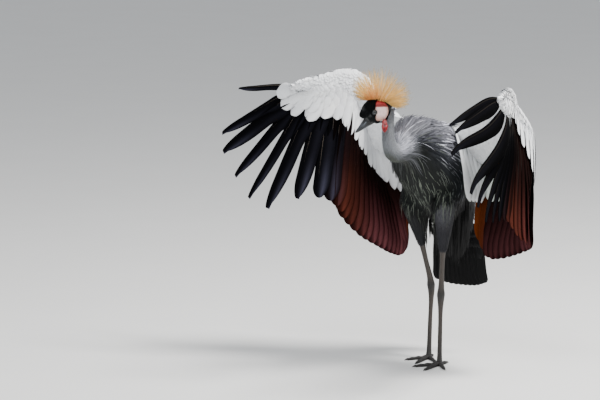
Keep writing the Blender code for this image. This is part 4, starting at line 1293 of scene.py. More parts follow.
@dataclass
class Wing:
    """One open wing: flight feathers with tiers of coverts on both faces."""

    label: str
    fan: Fan
    widths: tuple
    under_far: tuple
    upper_far: tuple
    # Colours of the under coverts, with painted shade.
    under_shade_tints: tuple
    # Share of painted shade that darkens the inner secondaries.
    shade: float
    twist: tuple
    drop: tuple
    # Share of painted sheen on black feathers and shafts, which also sets how light their painted black is.
    painted_sheen: float
    taper: float
    flights: int = 28

    def arm(self) -> Tube:
        """Work out the flesh form that the small coverts lie on.

        Its sections run from the leading edge to a little behind the feather roots, and a last
        one is drawn into the body.
        """
        place = np.linspace(28.5, -0.5, 26)
        edge = smooth(*self.fan.edges, place)
        trail = self.fan.point(place, np.full(26, 0.13))
        centre = (edge + trail) / 2
        chord = trail - edge
        span = np.gradient(centre, axis=0)
        up = unit(np.cross(span, chord)) * -self.fan.side
        hand = step_up(12.0, 5.0, place)
        lie = mixed(unit(chord), self.fan.frame(place, np.full(26, 0.1))[0], hand)
        wide = np.linalg.norm(chord - unit(span) * dot(chord, unit(span)), axis=1) / 2 + 0.003
        deep = smooth(*self.fan.thick, place) - 0.002
        inward = centre[:1] * np.array((0.45, 1.0, 0.97))
        first = slice(0, 1)
        return Tube(np.concatenate([inward, centre]), np.concatenate([wide[first] * 0.8, wide]),
                    np.concatenate([deep[first] * 1.2, deep]), np.concatenate([up[first], up]),
                    np.concatenate([lie[first], lie]))

    def flight_sheet(self) -> Sheet:
        """Make the 28 flight feathers with their shafts.

        Primaries are black, secondaries chestnut to maroon, and the last ones have a rusty rim, its orange
        partly the feather's own and partly a painted glow of light through the thin edge.
        Each face carries painted shade where its neighbour overlaps it and along its free rim, and is palest
        between its middle and its free edge.
        """
        numbers = np.arange(self.flights, dtype=float)
        fingered = step_up(7.5, 5.0, numbers)
        notch = (0.36 - 0.60 * self.taper) * fingered * (numbers > 0.5)
        shape = FlightShape(smooth(*self.widths, numbers), notch, 0.84 - self.taper * fingered,
                            0.12 + 0.38 * fingered, np.interp(numbers, *self.twist),
                            0.5 + 1.8 * self.taper**2 * fingered)
        blades = shape.blades(self.fan, numbers + DRAW.uniform(-0.06, 0.06, self.flights))
        brown = step_up(7.6, 9.6, numbers)
        inner = step_up(11.0, 17.0, numbers)
        tone = DRAW.uniform(0.78, 1.22, (self.flights, 1, 1, 1))
        secondary = mixed(Plumage.CHESTNUT, Plumage.MAROON, inner)
        # Painted light: the black is painted darker on the lit left wing and lighter where the painted sheen
        # is strong.
        primary = Plumage.PRIMARY * (0.35 + 1.5 * self.painted_sheen)
        colour = mixed(primary, secondary, brown)[:, None, None] * tone
        dark = mixed(primary, Plumage.CHESTNUT_DARK, brown)[:, None, None]
        # Painted shade: inner secondaries are darkened towards their dark base colour, most on the left
        # wing, where they lie in shade.
        shade = self.shade * brown * (0.35 + 0.65 * step_up(14.0, 20.0, numbers))
        colour = mixed(colour, dark, shade[:, None, None])
        rim = step_up(25.3, 26.6, numbers)[:, None, None]
        black = (1.0 - brown)[:, None, None]

        def paint(x: Array, y: Array, face: Array) -> Array:
            """Read a feather's colour across, along and by face."""
            free = np.where(face > 0.5, -x, x)
            out = mixed(dark + 0.0 * colour, colour, step_up(0.26, 0.66, y) * (0.25 + 0.75 * y))
            # Painted shade: darkest where the neighbour overlaps and at the free rim, palest between the
            # middle and the free edge.
            strip = np.exp(-((free - 0.38) / 0.46) ** 2)
            out = out * (0.22 + 1.00 * strip)[..., None]
            # Painted sheen: a bluish reflection on the free web of the black feathers' lower part.
            painted_sheen = black * np.exp(-((free - 0.25) / 0.35) ** 2) * step_up(0.35, 0.75, y)
            out = mixed(out, Plumage.PAINTED_SHEEN_TINT, painted_sheen * self.painted_sheen)
            # Rusty rim on the last feathers: partly their own colour, partly a painted glow of light through
            # the thin edge.
            glow = rim * step_up(0.60, -0.30, x) * step_up(0.15, 0.40, y)
            return mixed(out, Plumage.RUST_AND_GLOW, glow)

        sheet = blades.sheet(paint, lambda x, y, f: strip_at(self.flights, x, y, f))
        shift = 0.62 - 0.42 * step_up(3.0, 14.0, numbers)
        # The shafts are painted paler where the painted sheen is strong.
        pale = Plumage.SHAFT * (0.02 + self.painted_sheen)
        return sheet.joined(shaft_sheet(blades, shift, 0.0014, pale))

    def row(self, upper: int, share: float, count: int, level: float, cap: float) -> Sheet:
        """Make one row of large coverts: broad tongues with round ends.

        Args:
            upper: 1 for the upper side, -1 for the under side.
            share: part of the covered reach that the row spans.
            count: feathers in the row.
            level: height over the flight feathers.
            cap: largest half width.

        Returns:
            The sheet.
        """
        far, tints = ((self.upper_far, (Plumage.COVERT, Plumage.COVERT)) if upper > 0 else
                      (self.under_far, self.under_shade_tints))
        step = 28.4 / count
        place = -0.3 + step * (np.arange(count) + 0.5) + DRAW.uniform(-0.12, 0.12, count) * step
        place = place + 1.6 * (share < 1.0) * step_up(6.0, 0.0, place)
        end = smooth(*far, place) * share * DRAW.uniform(0.95, 1.05, count)
        t = 1.0 - (1.0 - np.linspace(0.0, 1.0, 14)) ** 1.6
        reach = end[:, None] * t
        where = place[:, None] + 0.0 * reach
        along, outward, up = self.fan.frame(where, np.maximum(reach, 0.02))
        height = level * (0.75 + 0.25 * np.sin(math.pi * np.minimum(t * 1.1, 1.0)))
        centre = self.fan.point(where, reach) + up * (upper * height)[..., None]
        gaps = self.fan.point(where - step / 2, reach) - self.fan.point(where + step / 2, reach)
        spacing = np.abs(np.sum(gaps * outward, axis=-1))
        tongue = smooth((0.0, 0.3, 0.6, 0.82, 0.94, 1.0), (0.50, 0.86, 1.0, 0.94, 0.62, 0.10), t)
        half = np.clip(0.70 * spacing, 0.0135, cap) * tongue
        tilt = np.clip(0.0026 / np.maximum(spacing, 0.008), 0.03, 0.13)[..., None]
        side = outward * np.cos(tilt) + up * np.sin(tilt)
        # Painted shade: under coverts grow greyer towards the body; upper ones stay white.
        shade = mixed(tints[0], tints[1], step_up(6.0, 22.0, place))
        spots = np.stack([0.02 + 0.95 * (place + 0.5) / 29.0,
                          np.full(count, 0.5 + 0.22 * upper + 0.1 * share)], axis=-1)
        return self.tongues(centre, side, up * upper, half, shade, spots, upper)

    def tongues(self, centre: Array, side: Array, normal: Array, half: Array, shade: Array,
                spots: Array, upper: int) -> Sheet:
        """Blade and paint large coverts.

        Args:
            centre: middle lines.
            side: directions across.
            normal: directions out of the wing.
            half: half widths.
            shade: one colour for each feather.
            spots: places on the unwrap.
            upper: 1 for the upper side, -1 for the under side.

        Returns:
            The sheet.
        """
        blades = Blades(centre, side, normal, half, half, 7, 0.10, 0.0004)
        tone = DRAW.uniform(0.93, 1.03, (len(centre), 1, 1, 1))
        shade = shade[:, None, None] * tone

        def paint(x: Array, y: Array, face: Array) -> Array:
            """Paint shade towards the root, at the edges and where a neighbour overlaps, and darken a line
            beside the shaft.
            """
            free = np.where(face > 0.5, -x, x) * upper
            shade_and_shaft = 0.18 * step_up(0.55, 0.0, y) + 0.30 * step_up(0.4, -0.7, free)
            shade_and_shaft = shade_and_shaft + 0.16 * np.exp(-((x - 0.15) / 0.06) ** 2)
            shade_and_shaft = shade_and_shaft + 0.22 * step_up(0.86, 1.0, np.abs(x))
            return np.clip(mixed(shade, shade * 0.45, shade_and_shaft), 0.0, 0.93)

        return blades.sheet(paint, lambda x, y, f: patch_at(spots, x, y))

    def inner_tongues(self, upper: int) -> Sheet:
        """Hang a few long coverts inward of the last flight feather, down beside the body."""
        count = 5
        k = np.linspace(0.0, 1.0, count)
        edge, root = smooth(*self.fan.edges, 28.3), smooth(*self.fan.roots, 28.3)
        start = mixed(edge, root, k)
        fall = mixed(np.array(self.drop[0]), np.array(self.drop[1]), k)
        t = np.linspace(0.0, 1.0, 14)
        out = np.array((float(self.fan.side), -0.3, 0.0))
        level = 0.002 + 0.004 * (upper > 0) + 0.010 * np.sin(math.pi * t)
        bulge = np.array(self.drop[2]) * np.sin(math.pi * t)[:, None]
        centre = start[:, None] + fall[:, None] * t[None, :, None] + out * level[:, None] + bulge
        along = unit(np.gradient(centre, axis=1))
        side = unit(edge - root) + 0.0 * centre
        side = unit(side - along * dot(side, along))
        normal = unit(np.cross(side, along)) * self.fan.side * upper
        tongue = smooth((0.0, 0.3, 0.6, 0.82, 0.94, 1.0), (0.5, 0.8, 1.0, 0.94, 0.62, 0.10), t)
        tints = self.under_shade_tints if upper < 0 else (Plumage.COVERT, Plumage.COVERT)
        # Painted shade: the inner tongues darken towards the leading edge.
        shade = np.broadcast_to(tints[1], (count, 3)) * (0.80 + 0.20 * k)[:, None]
        spots = np.stack([np.full(count, 0.985), 0.5 + 0.3 * upper + 0.1 * k], axis=-1)
        half = 0.0165 * tongue + np.zeros((count, 1))
        return self.tongues(centre, side, normal, half, shade, spots, upper)

    def covert_sheet(self, upper: int) -> Sheet:
        """Make the greater and median coverts of one side, with a short row between."""
        rows = ((1.00, 19, 0.0088, 0.024), (0.74, 21, 0.0104, 0.021), (0.52, 24, 0.0119, 0.019),
                (0.34, 28, 0.0130, 0.016), (0.20, 30, 0.0137, 0.014))
        tiers = [self.row(upper, *row) for row in rows] + [self.inner_tongues(upper)]
        return tiers[0].joined(*tiers[1:])

    def build(self, flight: bpy.types.Material, covert: bpy.types.Material) -> None:
        """Make the wing's pieces."""
        hand, inner = "wing_%s_hand" % self.label, "wing_%s_inner" % self.label
        self.flight_sheet().build("wing_%s_flight_feathers" % self.label, flight, hand,
                                  (hand, inner))
        for upper, word in ((1, "upper"), (-1, "under")):
            self.covert_sheet(upper).build("wing_%s_%s_coverts" % (self.label, word), covert,
                                           inner)


@dataclass
class Tail:
    """Tail fan with its coverts."""

    fan: Fan
    feathers: int = 12
    half: float = 0.0160

    def build(self, material: bpy.types.Material) -> None:
        """Make the tail feathers, their shafts and three rows of coverts on each face."""
        numbers = np.arange(self.feathers, dtype=float)
        one = np.ones(self.feathers)
        shape = FlightShape(self.half * one, 0.0 * one, 0.86 * one, 0.05 * one, 0.0 * one,
                            0.5 * one)
        blades = shape.blades(self.fan, numbers)
        sheet = blades.sheet(
            lambda x, y, f: mixed(Plumage.TAIL * 1.0, Plumage.TAIL * 1.8, 0.5 + 0.5 * x),
            lambda x, y, f: strip_at(self.feathers, x, y, f))
        sheets = [sheet, shaft_sheet(blades, 0.1 * one, 0.0011, Plumage.TAIL * 2.0)]
        for upper in (1, -1):
            for start, end, count, layer in ((-0.10, 0.62, 13, 0.0035), (-0.14, 0.46, 15, 0.0065),
                                             (-0.18, 0.32, 17, 0.0090)):
                sheets.append(self.row(upper, start, end, count, layer))
        sheets[0].joined(*sheets[1:]).build("tail_feathers", material, "tail", ("tail",))

    def row(self, upper: int, start: float, end: float, count: int, layer: float) -> Sheet:
        """Make one row of tail coverts on one face."""
        place = np.linspace(-0.3, self.feathers - 0.7, count) + DRAW.uniform(-0.2, 0.2, count)
        t = np.linspace(0.0, 1.0, 10)
        reach = start + (end * DRAW.uniform(0.92, 1.06, (count, 1)) - start) * t
        where = place[:, None] + 0.0 * reach
        along, outward, up = self.fan.frame(where, np.maximum(reach, 0.02))
        height = layer * (1.0 - 0.35 * t) + 0.010 * np.maximum(-reach, 0.0) / 0.18
        centre = self.fan.point(where, reach) + up * (upper * height)[..., None]
        half = 0.0135 * smooth((0.0, 0.3, 0.7, 0.9, 1.0), (0.5, 0.85, 1.0, 0.75, 0.2), t)
        half = half + np.zeros((count, 1))
        normal = up * upper
        blades = Blades(centre, outward, normal, half, half, 5, 0.18, 0.0004)
        spots = np.stack([0.05 + 0.9 * (place + 0.5) / 12.5,
                          np.full(count, 0.5 + 0.3 * upper + 0.1 * start)], axis=-1)
        return blades.sheet(
            lambda x, y, f: mixed(Plumage.TAIL * 1.2, Plumage.TAIL * 2.4, y * 0.7),
            lambda x, y, f: patch_at(spots, x, y))


@dataclass
class Head:
    """Head with cap, cheeks, eyes, lids, bill, wattle and crest, in its own directions."""

    centre: tuple = (-0.035, -0.304, 0.752)
    yaw: float = 62.0
    pitch: float = 49.0
    forward: tuple = (-0.0395, -0.037, -0.030, -0.014, 0.004, 0.020, 0.032, 0.0385, 0.0405)
    rise: tuple = (-0.012, -0.012, -0.0085, -0.0025, 0.0008, 0.0066, 0.0100, 0.0072, 0.006)
    tall: tuple = (0.0, 0.010, 0.0215, 0.0325, 0.0362, 0.0316, 0.0212, 0.0110, 0.0)
    wide: tuple = (0.0, 0.008, 0.017, 0.0245, 0.026, 0.023, 0.0165, 0.0095, 0.0)
    eye_at: tuple = (0.006, 0.0015)
    eye_radius: float = 0.0062
    bill_start: float = 0.030
    bill_length: float = 0.053
    bill_tall: float = 0.0155
    bill_wide: float = 0.0098
    cap_depth: float = 0.0026
    wattle_length: float = 0.032
    bristles: int = 900
    crest_length: float = 0.101

    def __post_init__(self) -> None:
        """Work out the head's forward, crown and left directions."""
        yaw, pitch = math.radians(self.yaw), math.radians(self.pitch)
        flat = np.array([-math.sin(yaw), -math.cos(yaw), 0.0])
        upright = np.array([0.0, 0.0, 1.0])
        ahead = flat * math.cos(pitch) - upright * math.sin(pitch)
        crown = flat * math.sin(pitch) + upright * math.cos(pitch)
        self.axes = np.array([ahead, crown, np.cross(crown, ahead)])
        self.eye_side = float(np.interp(self.eye_at[0], self.forward, self.wide)) - 0.0040

    def place(self, local: Array) -> Array:
        """Turn places in the head's own directions into points."""
        return np.array(self.centre) + np.asarray(local) @ self.axes

    def face(self, f: Array, u: Array) -> tuple:
        """Measure the face's markings at places seen from the side.

        The cheek is an oval that stands upright when the bill points down, so places are first
        turned by the pitch. Inside it is below 1.

        Args:
            f: distance forward.
            u: distance towards the crown.

        Returns:
            The cheek oval's value and the height along it, up positive.
        """
        back = -0.656 * f - 0.754 * u
        up = -0.747 * f + 0.649 * u
        middle = 0.0149 - 8.5 * (up + 0.0015) ** 2
        wide = (np.abs(back - middle) / 0.0185) ** 2.4
        cheek = (wide + (np.abs(up + 0.0015) / 0.0293) ** 2.4) ** (1.0 / 2.4)
        return cheek, up

    def head_sheet(self) -> Sheet:
        """Make the head's skin: smooth oval sections with sockets and raised cheeks."""
        rows, sides = 110, 96
        k = np.linspace(0.0, 1.0, rows)
        f = -0.0395 + 0.080 * (0.5 - 0.5 * np.cos(math.pi * k))
        turn = np.linspace(0.0, 2.0 * math.pi, sides, endpoint=False)
        tall = np.interp(f, self.forward, self.tall)
        wide = np.interp(f, self.forward, self.wide)
        rise = np.interp(f, self.forward, self.rise)
        for _ in range(8):
            for values in (tall, wide, rise):
                values[1:-1] = 0.25 * values[:-2] + 0.5 * values[1:-1] + 0.25 * values[2:]
        ff = np.repeat(f[:, None], sides, axis=1)
        uu = rise[:, None] + np.sin(turn) * tall[:, None]
        ss = np.cos(turn) * wide[:, None]
        cheek, up = self.face(ff, uu)
        bare = step_up(1.06, 0.96, cheek)
        lore = step_up(0.012, 0.020, ff) * step_up(0.012, 0.004, uu)
        inset = -0.0024 * (1.0 - np.maximum(bare, lore * 0.8))
        eye = np.hypot(ff - self.eye_at[0], uu - self.eye_at[1])
        inset = inset - 0.0030 * np.exp(-(eye / 0.0075) ** 2)
        inset = inset * np.minimum(1.0, np.minimum(tall, wide) / 0.012)[:, None]
        out = np.stack([0.0 * ff, np.sin(turn) * wide[:, None], np.cos(turn) * tall[:, None]], -1)
        local = np.stack([ff, uu, ss], axis=-1) + unit(out) * inset[..., None]
        low = np.maximum(step_up(0.60, 1.0, cheek), step_up(-0.008, -0.028, up))
        white = mixed(Plumage.CHEEK, Plumage.CHEEK_EDGE, low)
        deep = np.exp(-((up - 0.0145) / 0.0035) ** 2)
        red = mixed(Plumage.CHEEK_RED, Plumage.CHEEK_RED_DARK, deep * 0.8)
        colour = mixed(white, red, step_up(0.0095, 0.0120, up))
        colour = mixed(mixed(Plumage.VELVET, Plumage.LORE, lore), colour, bare)
        colour = mixed(colour, Plumage.VELVET * 1.5, step_up(0.0095, 0.0070, eye))
        bake = np.stack(np.broadcast_arrays(turn / 6.2832, k[:, None]), axis=-1).reshape(-1, 2)
        return Sheet(self.place(local).reshape(-1, 3), grid_faces(1, rows, sides, True),
                     colour.reshape(-1, 3), bake * 0.1, bake)

    def head_tube(self) -> Tube:
        """The head as a flesh form for its coat, from the bill to the nape."""
        f = np.array(self.forward[1:-1])[::-1]
        local = np.stack([f, np.array(self.rise[1:-1])[::-1], 0.0 * f], axis=-1)
        less = 0.0024
        return Tube(self.place(local), np.array(self.wide[1:-1])[::-1] - less,
                    np.array(self.tall[1:-1])[::-1] - less, up=tuple(self.axes[1]))

    def cap(self, neck: Tube) -> list:
        """Make the velvet cap, the chin and the nape, as very short dense tufts."""
        tube = self.head_tube()
        flesh = Flesh([tube, neck], soft=0.005)
        points, s, turn = scatter(tube, 0.00105)
        local = (points - np.array(self.centre)) @ self.axes.T
        cheek, up = self.face(local[:, 0], local[:, 1])
        eye = np.hypot(local[:, 0] - self.eye_at[0], local[:, 1] - self.eye_at[1])
        side = np.abs(local[:, 2]) > 0.006
        keep = (((cheek > 1.02) | ~side) & ((eye > 0.0082) | ~side)
                & (neck.near(points)[0] > -0.003))
        points, s, turn, local, up = points[keep], s[keep], turn[keep], local[keep], up[keep]
        cheek = cheek[keep]
        count = len(s)
        lore = step_up(0.014, 0.024, local[:, 0]) * step_up(0.014, 0.006, local[:, 1])
        length = (0.0042 - 0.0014 * lore) * DRAW.uniform(0.85, 1.15, count)
        grey = step_up(1.22, 1.34, cheek) * step_up(-0.010, -0.022, local[:, 0])
        base = mixed(mixed(Plumage.VELVET, Plumage.LORE * 0.6, lore), Plumage.NECK_DARK, grey)
        tip = mixed(mixed(Plumage.VELVET * 1.5, Plumage.LORE, lore), Plumage.NECK, grey)
        spots = np.stack([0.02 + 0.96 * (turn / 6.2832 + 0.5), 0.02 + 0.96 * s], axis=-1)
        depth = (self.cap_depth - 0.0014 * lore) * DRAW.uniform(0.95, 1.05, count)
        return [Coat("velvet_cap", points, spots, length, np.full(count, 0.00062), base, tip,
                     depth, swing=0.30, rows=4, columns=3, outline=Outline.ROUND, fray=0.10,
                     sink=0.001).sheet(flesh)]

    def eye(self, side: int) -> Sheet:
        """Make an eyeball, marked by the angle from where it looks."""
        polar = np.linspace(0.0, math.pi, 33)
        turn = np.linspace(0.0, 2.0 * math.pi, 40, endpoint=False)
        p, q = np.meshgrid(polar, turn, indexing="ij")
        bulge = 1.0 + 0.035 * np.exp(-(p / 0.55) ** 2)
        local = np.stack([np.sin(p) * np.cos(q), np.sin(p) * np.sin(q),
                          side * np.cos(p) * bulge], axis=-1) * self.eye_radius
        local = local + np.array([self.eye_at[0], self.eye_at[1], side * self.eye_side])
        angle = np.degrees(p)
        ray = 0.85 + 0.15 * np.sin(q * 23.0) * np.sin(q * 7.0 + 1.0)
        iris = Plumage.IRIS * ray[..., None]
        iris = mixed(iris, Plumage.IRIS * 0.35, step_up(40.0, 47.0, angle))
        colour = mixed(Plumage.PUPIL + 0.0 * iris, iris, step_up(30.0, 32.0, angle))
        colour = mixed(colour, Plumage.PUPIL, step_up(47.0, 52.0, angle))
        bake = np.stack([q / 6.2832, p / math.pi], axis=-1).reshape(-1, 2)
        return Sheet(self.place(local).reshape(-1, 3), grid_faces(1, 33, 40, True),
                     colour.reshape(-1, 3), bake, bake)

    def lid(self, side: int) -> Sheet:
        """Make the fleshy ring of the lids, an almond ring with two folds."""
        turn = np.linspace(0.0, 2.0 * math.pi, 64, endpoint=False)
        small = np.linspace(0.0, 2.0 * math.pi, 14, endpoint=False)
        q, w = np.meshgrid(turn, small, indexing="ij")
        major = self.eye_radius * 0.93 * (1.0 + 0.04 * np.cos(2.0 * q))
        thick = 0.0015 * (1.0 + 0.18 * np.cos(2.0 * w) + 0.06 * np.sin(12.0 * q))
        reach = major + thick * np.cos(w) * 0.9
        high = 0.0033 + thick * np.sin(w) - 0.0006 * np.cos(q) ** 2
        local = np.stack([np.cos(q) * reach, np.sin(q) * reach * 0.90, side * high], axis=-1)
        local = local + np.array([self.eye_at[0], self.eye_at[1], side * self.eye_side])
        points = self.place(local)
        closed = np.concatenate([points, points[:1]]).reshape(-1, 3)
        shade = Plumage.LID + 0.0 * closed
        flat = np.stack([np.repeat(np.arange(65), 14) / 65.0, np.tile(small, 65) / 6.2832], -1)
        return Sheet(closed, grid_faces(1, 65, 14, True), shade, flat, flat)

    def bill(self, upper: bool) -> Sheet:
        """Make one half of the bill.

        The section is half a superellipse on the mouth line. The upper half carries a nostril
        slot, pressed in and painted dark as shade inside it, with a pale line of painted light
        below it, and both halves bend a little to the tip.

        Args:
            upper: whether it is the upper half.

        Returns:
            The sheet.
        """
        rows, sides = 70, 40
        k = np.linspace(0.0, 1.0, rows) ** 0.9
        f = self.bill_start - 0.006 + (self.bill_length + 0.006 + (0.002 if upper else 0.0)) * k
        share = np.clip((f - self.bill_start) / self.bill_length, 0.0, 1.04)
        tall = self.bill_tall * (1.0 - 0.80 * share**0.9)
        wide = self.bill_wide * (1.0 - 0.86 * share) * np.sqrt(np.clip((1.045 - share) / 0.12, 0, 1))
        wide = np.maximum(wide, 0.0)
        middle = -0.004 + 0.0055 * share
        mouth = middle - tall * 0.30
        sign = 1.0 if upper else -1.0
        high = tall * (1.30 if upper else 0.70)
        high = high * np.sqrt(np.clip((1.05 - share) / (0.10 if upper else 0.16), 0.0, 1.0))
        turn = np.linspace(0.0, math.pi, sides // 2)
        arch = np.abs(np.sin(turn)) ** 0.85
        flank = np.sign(np.cos(turn)) * np.abs(np.cos(turn)) ** 0.9
        uu = mouth[:, None] + sign * (0.00015 + arch * high[:, None])
        ss = flank * wide[:, None]
        base = np.stack([flank[::-1] * 0.96, -0.05 + 0.0 * arch], axis=0)
        floor_u = mouth[:, None] + sign * (0.00015 + 0.0 * base[0]) + 0.0 * uu
        floor_s = flank[::-1] * wide[:, None] * 0.97
        u_all = np.concatenate([uu, floor_u], axis=1)
        s_all = np.concatenate([ss, floor_s], axis=1)
        f_all = np.repeat(f[:, None], u_all.shape[1], axis=1)
        slot = 0.0 * f_all
        nostril_light = slot
        if upper:
            centre_f, centre_u = self.bill_start + 0.0175, 0.0030
            slope = (u_all - centre_u) + 0.10 * (f_all - centre_f)
            slot = np.exp(-((f_all - centre_f) / 0.0055) ** 4 - (slope / 0.0017) ** 2)
            slot = slot * (np.abs(s_all) > 0.001)
            s_all = s_all - np.sign(s_all) * 0.0024 * slot
            nostril_light = np.exp(-((f_all - centre_f) / 0.0060) ** 4 - ((slope + 0.003) / 0.0012) ** 2)
        groove = np.exp(-((u_all - mouth[:, None] - sign * 0.0012) / 0.0010) ** 2)
        local = np.stack([f_all, u_all, s_all], axis=-1)
        ends = [local[:1].mean(axis=1, keepdims=True) + 0.0 * local[:1], local,
                local[-1:].mean(axis=1, keepdims=True) + 0.0 * local[-1:]]
        local = np.concatenate(ends)
        pale = np.clip(0.35 * step_up(0.15, 0.9, share)[:, None]
                       + 0.35 * np.exp(-((f_all - 0.056) / 0.007) ** 2), 0.0, 1.0)
        colour = mixed(Plumage.BILL, Plumage.BILL_PALE, pale * (1.0 - groove))
        # Painted light and shade at the nostril: a pale line of light below it and painted shade inside the
        # slot.
        colour = mixed(mixed(colour, Plumage.BILL_PALE * 1.6, nostril_light), Plumage.PUPIL, slot)
        colour = mixed(colour, Plumage.BILL * 0.4, groove * 0.7)
        colour = np.concatenate([colour[:1], colour, colour[-1:]])
        total = local.shape[1]
        k_all = np.linspace(0.0, 1.0, rows + 2)
        bake = np.stack(np.broadcast_arrays(np.arange(total)[None] / total, k_all[:, None]), -1)
        return Sheet(self.place(local).reshape(-1, 3), grid_faces(1, rows + 2, total, True),
                     colour.reshape(-1, 3), bake.reshape(-1, 2) * 0.05, bake.reshape(-1, 2))

    def wattle(self) -> Sheet:
        """Make the red wattle: a flat lobe with soft folds and a groove down its middle, painted darker in
        the groove and folds as painted shade.
        """
        hang = unit(DOWN + 0.42 * self.axes[2])
        top = self.place((0.007, -0.036, 0.017))
        k = np.linspace(-0.15, 1.0, 60)
        path = top + hang * (self.wattle_length * k)[:, None]
        wide = smooth((-0.15, 0.0, 0.25, 0.55, 0.85, 0.97, 1.0),
                      (0.004, 0.0060, 0.0074, 0.0086, 0.0046, 0.0018, 0.0004), k)
        turn = np.linspace(0.0, 2.0 * math.pi, 36, endpoint=False)
        fold = 0.0003 * np.sin(k * 17.0 + 1.0)[:, None] * np.sin(turn * 2.0 + k[:, None] * 3.0)
        fold = fold - 0.0006 * np.exp(-((np.cos(turn)) / 0.25) ** 2) * step_up(0.1, 0.4, k)[:, None]
        sheet = tube_sheet(path, wide, wide * 0.52, 36, self.axes[2], fold)
        groove = np.concatenate([fold[:1], fold, fold[-1:]])
        # Painted shade: darker where the folds and groove press in.
        share = step_up(0.0002, -0.0008, groove)
        sheet.marking = mixed(Plumage.WATTLE, Plumage.WATTLE_SHADE, share).reshape(-1, 3)
        return sheet

    def crest(self) -> Sheet:
        """Make the crest: stiff twisted bristles with short barbs, in a golden-angle spread."""
        count, rows = self.bristles, 7
        ahead, crown, left = self.axes
        back = unit(-0.88 * ahead + 0.475 * crown)
        slope = unit(0.475 * ahead + 0.88 * crown)
        i = np.arange(count)
        spread = np.sqrt((i + 0.5) / count)
        angle = math.pi * (3.0 - math.sqrt(5.0)) * i
        lean = math.radians(104.0) * spread**0.8 * np.cos(angle)
        lean = lean + 0.06 * DRAW.standard_normal(count)
        sway = math.radians(58.0) * spread * np.sin(angle)
        sin_, cos_ = np.sin(lean)[:, None], np.cos(lean)[:, None]
        sin_w, cos_w = np.sin(sway)[:, None], np.cos(sway)[:, None]
        way = unit(back * cos_ * cos_w + slope * sin_ * cos_w + left * sin_w)
        middle = self.place((-0.022, 0.010, 0.0))
        root = middle + slope * 0.024 * sin_ + left * 0.010 * sin_w
        length = self.crest_length * (1.0 - 0.58 * np.abs(lean / math.radians(100.0)) ** 1.8)
        length = length * (1.0 - 0.12 * step_up(0.6, 1.6, lean))
        length = length * DRAW.uniform(0.64, 1.0, count) ** 0.8
        droop = unit(way + slope * 0.10 * sin_ + 0.08 * DRAW.standard_normal((count, 3)))
        t = np.linspace(0.0, 1.0, rows)
        run = length[:, None] * t
        bend = step_up(0.3, 1.0, t)[:, None]
        line = root[:, None] + (way[:, None] * (1.0 - 0.5 * bend)
                                + droop[:, None] * 0.5 * bend) * run[..., None]
        along = unit(np.gradient(line, axis=1))
        side = unit(np.cross(along, left + 0.3 * slope))
        up = np.cross(side, along)
        size = 0.00048 * (1.0 - 0.60 * t)
        turn = np.linspace(0.0, 2.0 * math.pi, 3, endpoint=False)
        ring = (side[:, :, None] * np.cos(turn)[:, None] + up[:, :, None] * np.sin(turn)[:, None])
        points = line[:, :, None] + ring * size[:, None, None]
        base = mixed(Plumage.CREST_BASE, Plumage.CREST, step_up(0.6, -0.6, lean))
        tone = DRAW.uniform(0.8, 1.12, (count, 1, 1))
        colour = mixed(base[:, None], Plumage.CREST, step_up(0.2, 0.7, t)[None])
        colour = mixed(colour, Plumage.CREST_TIP, step_up(0.84, 1.0, t)[None] * 0.8) * tone
        spots = np.stack([0.1 + 0.8 * (lean / 4.0 + 0.5), 0.1 + 0.8 * (sway / 3.0 + 0.5)], -1)
        x, y = np.zeros((count, rows, 3)), t[None, :, None] + np.zeros((count, rows, 3))
        rods = Sheet(points.reshape(-1, 3), grid_faces(count, rows, 3, True),
                     np.repeat(colour[:, :, None], 3, axis=2).reshape(-1, 3),
                     np.stack([x, y * 0.09], -1).reshape(-1, 2),
                     patch_at(spots, x, y).reshape(-1, 2))
        return rods.joined(self.barbs(line, side, up, colour, spots))

    def barbs(self, line: Array, side: Array, up: Array, colour: Array, spots: Array) -> Sheet:
        """Make the short barbs that twist round each bristle."""
        count, per = len(line), 16
        t = np.linspace(0.15, 0.97, per)
        knots = np.linspace(0.0, 1.0, line.shape[1])
        spot = smooth(knots, line.transpose(1, 0, 2), t).transpose(1, 0, 2)
        a = smooth(knots, side.transpose(1, 0, 2), t).transpose(1, 0, 2)
        b = smooth(knots, up.transpose(1, 0, 2), t).transpose(1, 0, 2)
        along = unit(np.cross(a, b)) * np.sign(dot(np.cross(a, b), np.gradient(spot, axis=1)))
        twist = t * 22.0 + DRAW.random((count, 1)) * 6.28
        out = a * np.cos(twist)[..., None] + b * np.sin(twist)[..., None]
        size = 0.0034 * (1.0 - 0.35 * t)[None, :, None]
        tip = spot + (out * 0.55 + along * 0.85) * size
        wing = np.cross(out, along) * 0.00022
        points = np.stack([np.stack([spot - wing, spot + wing], 2),
                           np.stack([tip - wing * 0.3, tip + wing * 0.3], 2)], axis=2)
        shade = smooth(knots, colour.transpose(1, 0, 2), t).transpose(1, 0, 2)
        shade = np.clip(np.repeat(shade[:, :, None], 4, axis=2), 0.0, 1.0)
        total = count * per
        places = np.repeat(np.repeat(spots[:, None], per, axis=1)[:, :, None], 4, axis=2)
        return Sheet(points.reshape(-1, 3), grid_faces(total, 2, 2, False), shade.reshape(-1, 3),
                     np.zeros((total * 4, 2)), places.reshape(-1, 2))

    def build(self, finishes: dict, neck: Tube) -> None:
        """Make every piece of the head."""
        self.head_sheet().build("head_skin", finishes["face"], "head", ("head",), weld=True)
        for coat in self.cap(neck):
            coat.build("velvet_cap", finishes["velvet"], "head")
        for side, label in ((1, "left"), (-1, "right")):
            self.eye(side).build("eye_ball_" + label, finishes["eye"], "eye_" + label,
                                 ("eye_" + label,), weld=True)
            self.lid(side).build("lids_" + label, finishes["lid"], "head", weld=True)
        for upper, label in ((True, "upper"), (False, "lower")):
            self.bill(upper).build("bill_%s_horn" % label, finishes["horn"], "bill_" + label,
                                   ("bill_" + label,), weld=True)
        self.wattle().build("wattle_skin", finishes["wattle"], "wattle", ("wattle",), weld=True)
        self.crest().build("crest_bristles", finishes["crest"], "crest", ("crest",))


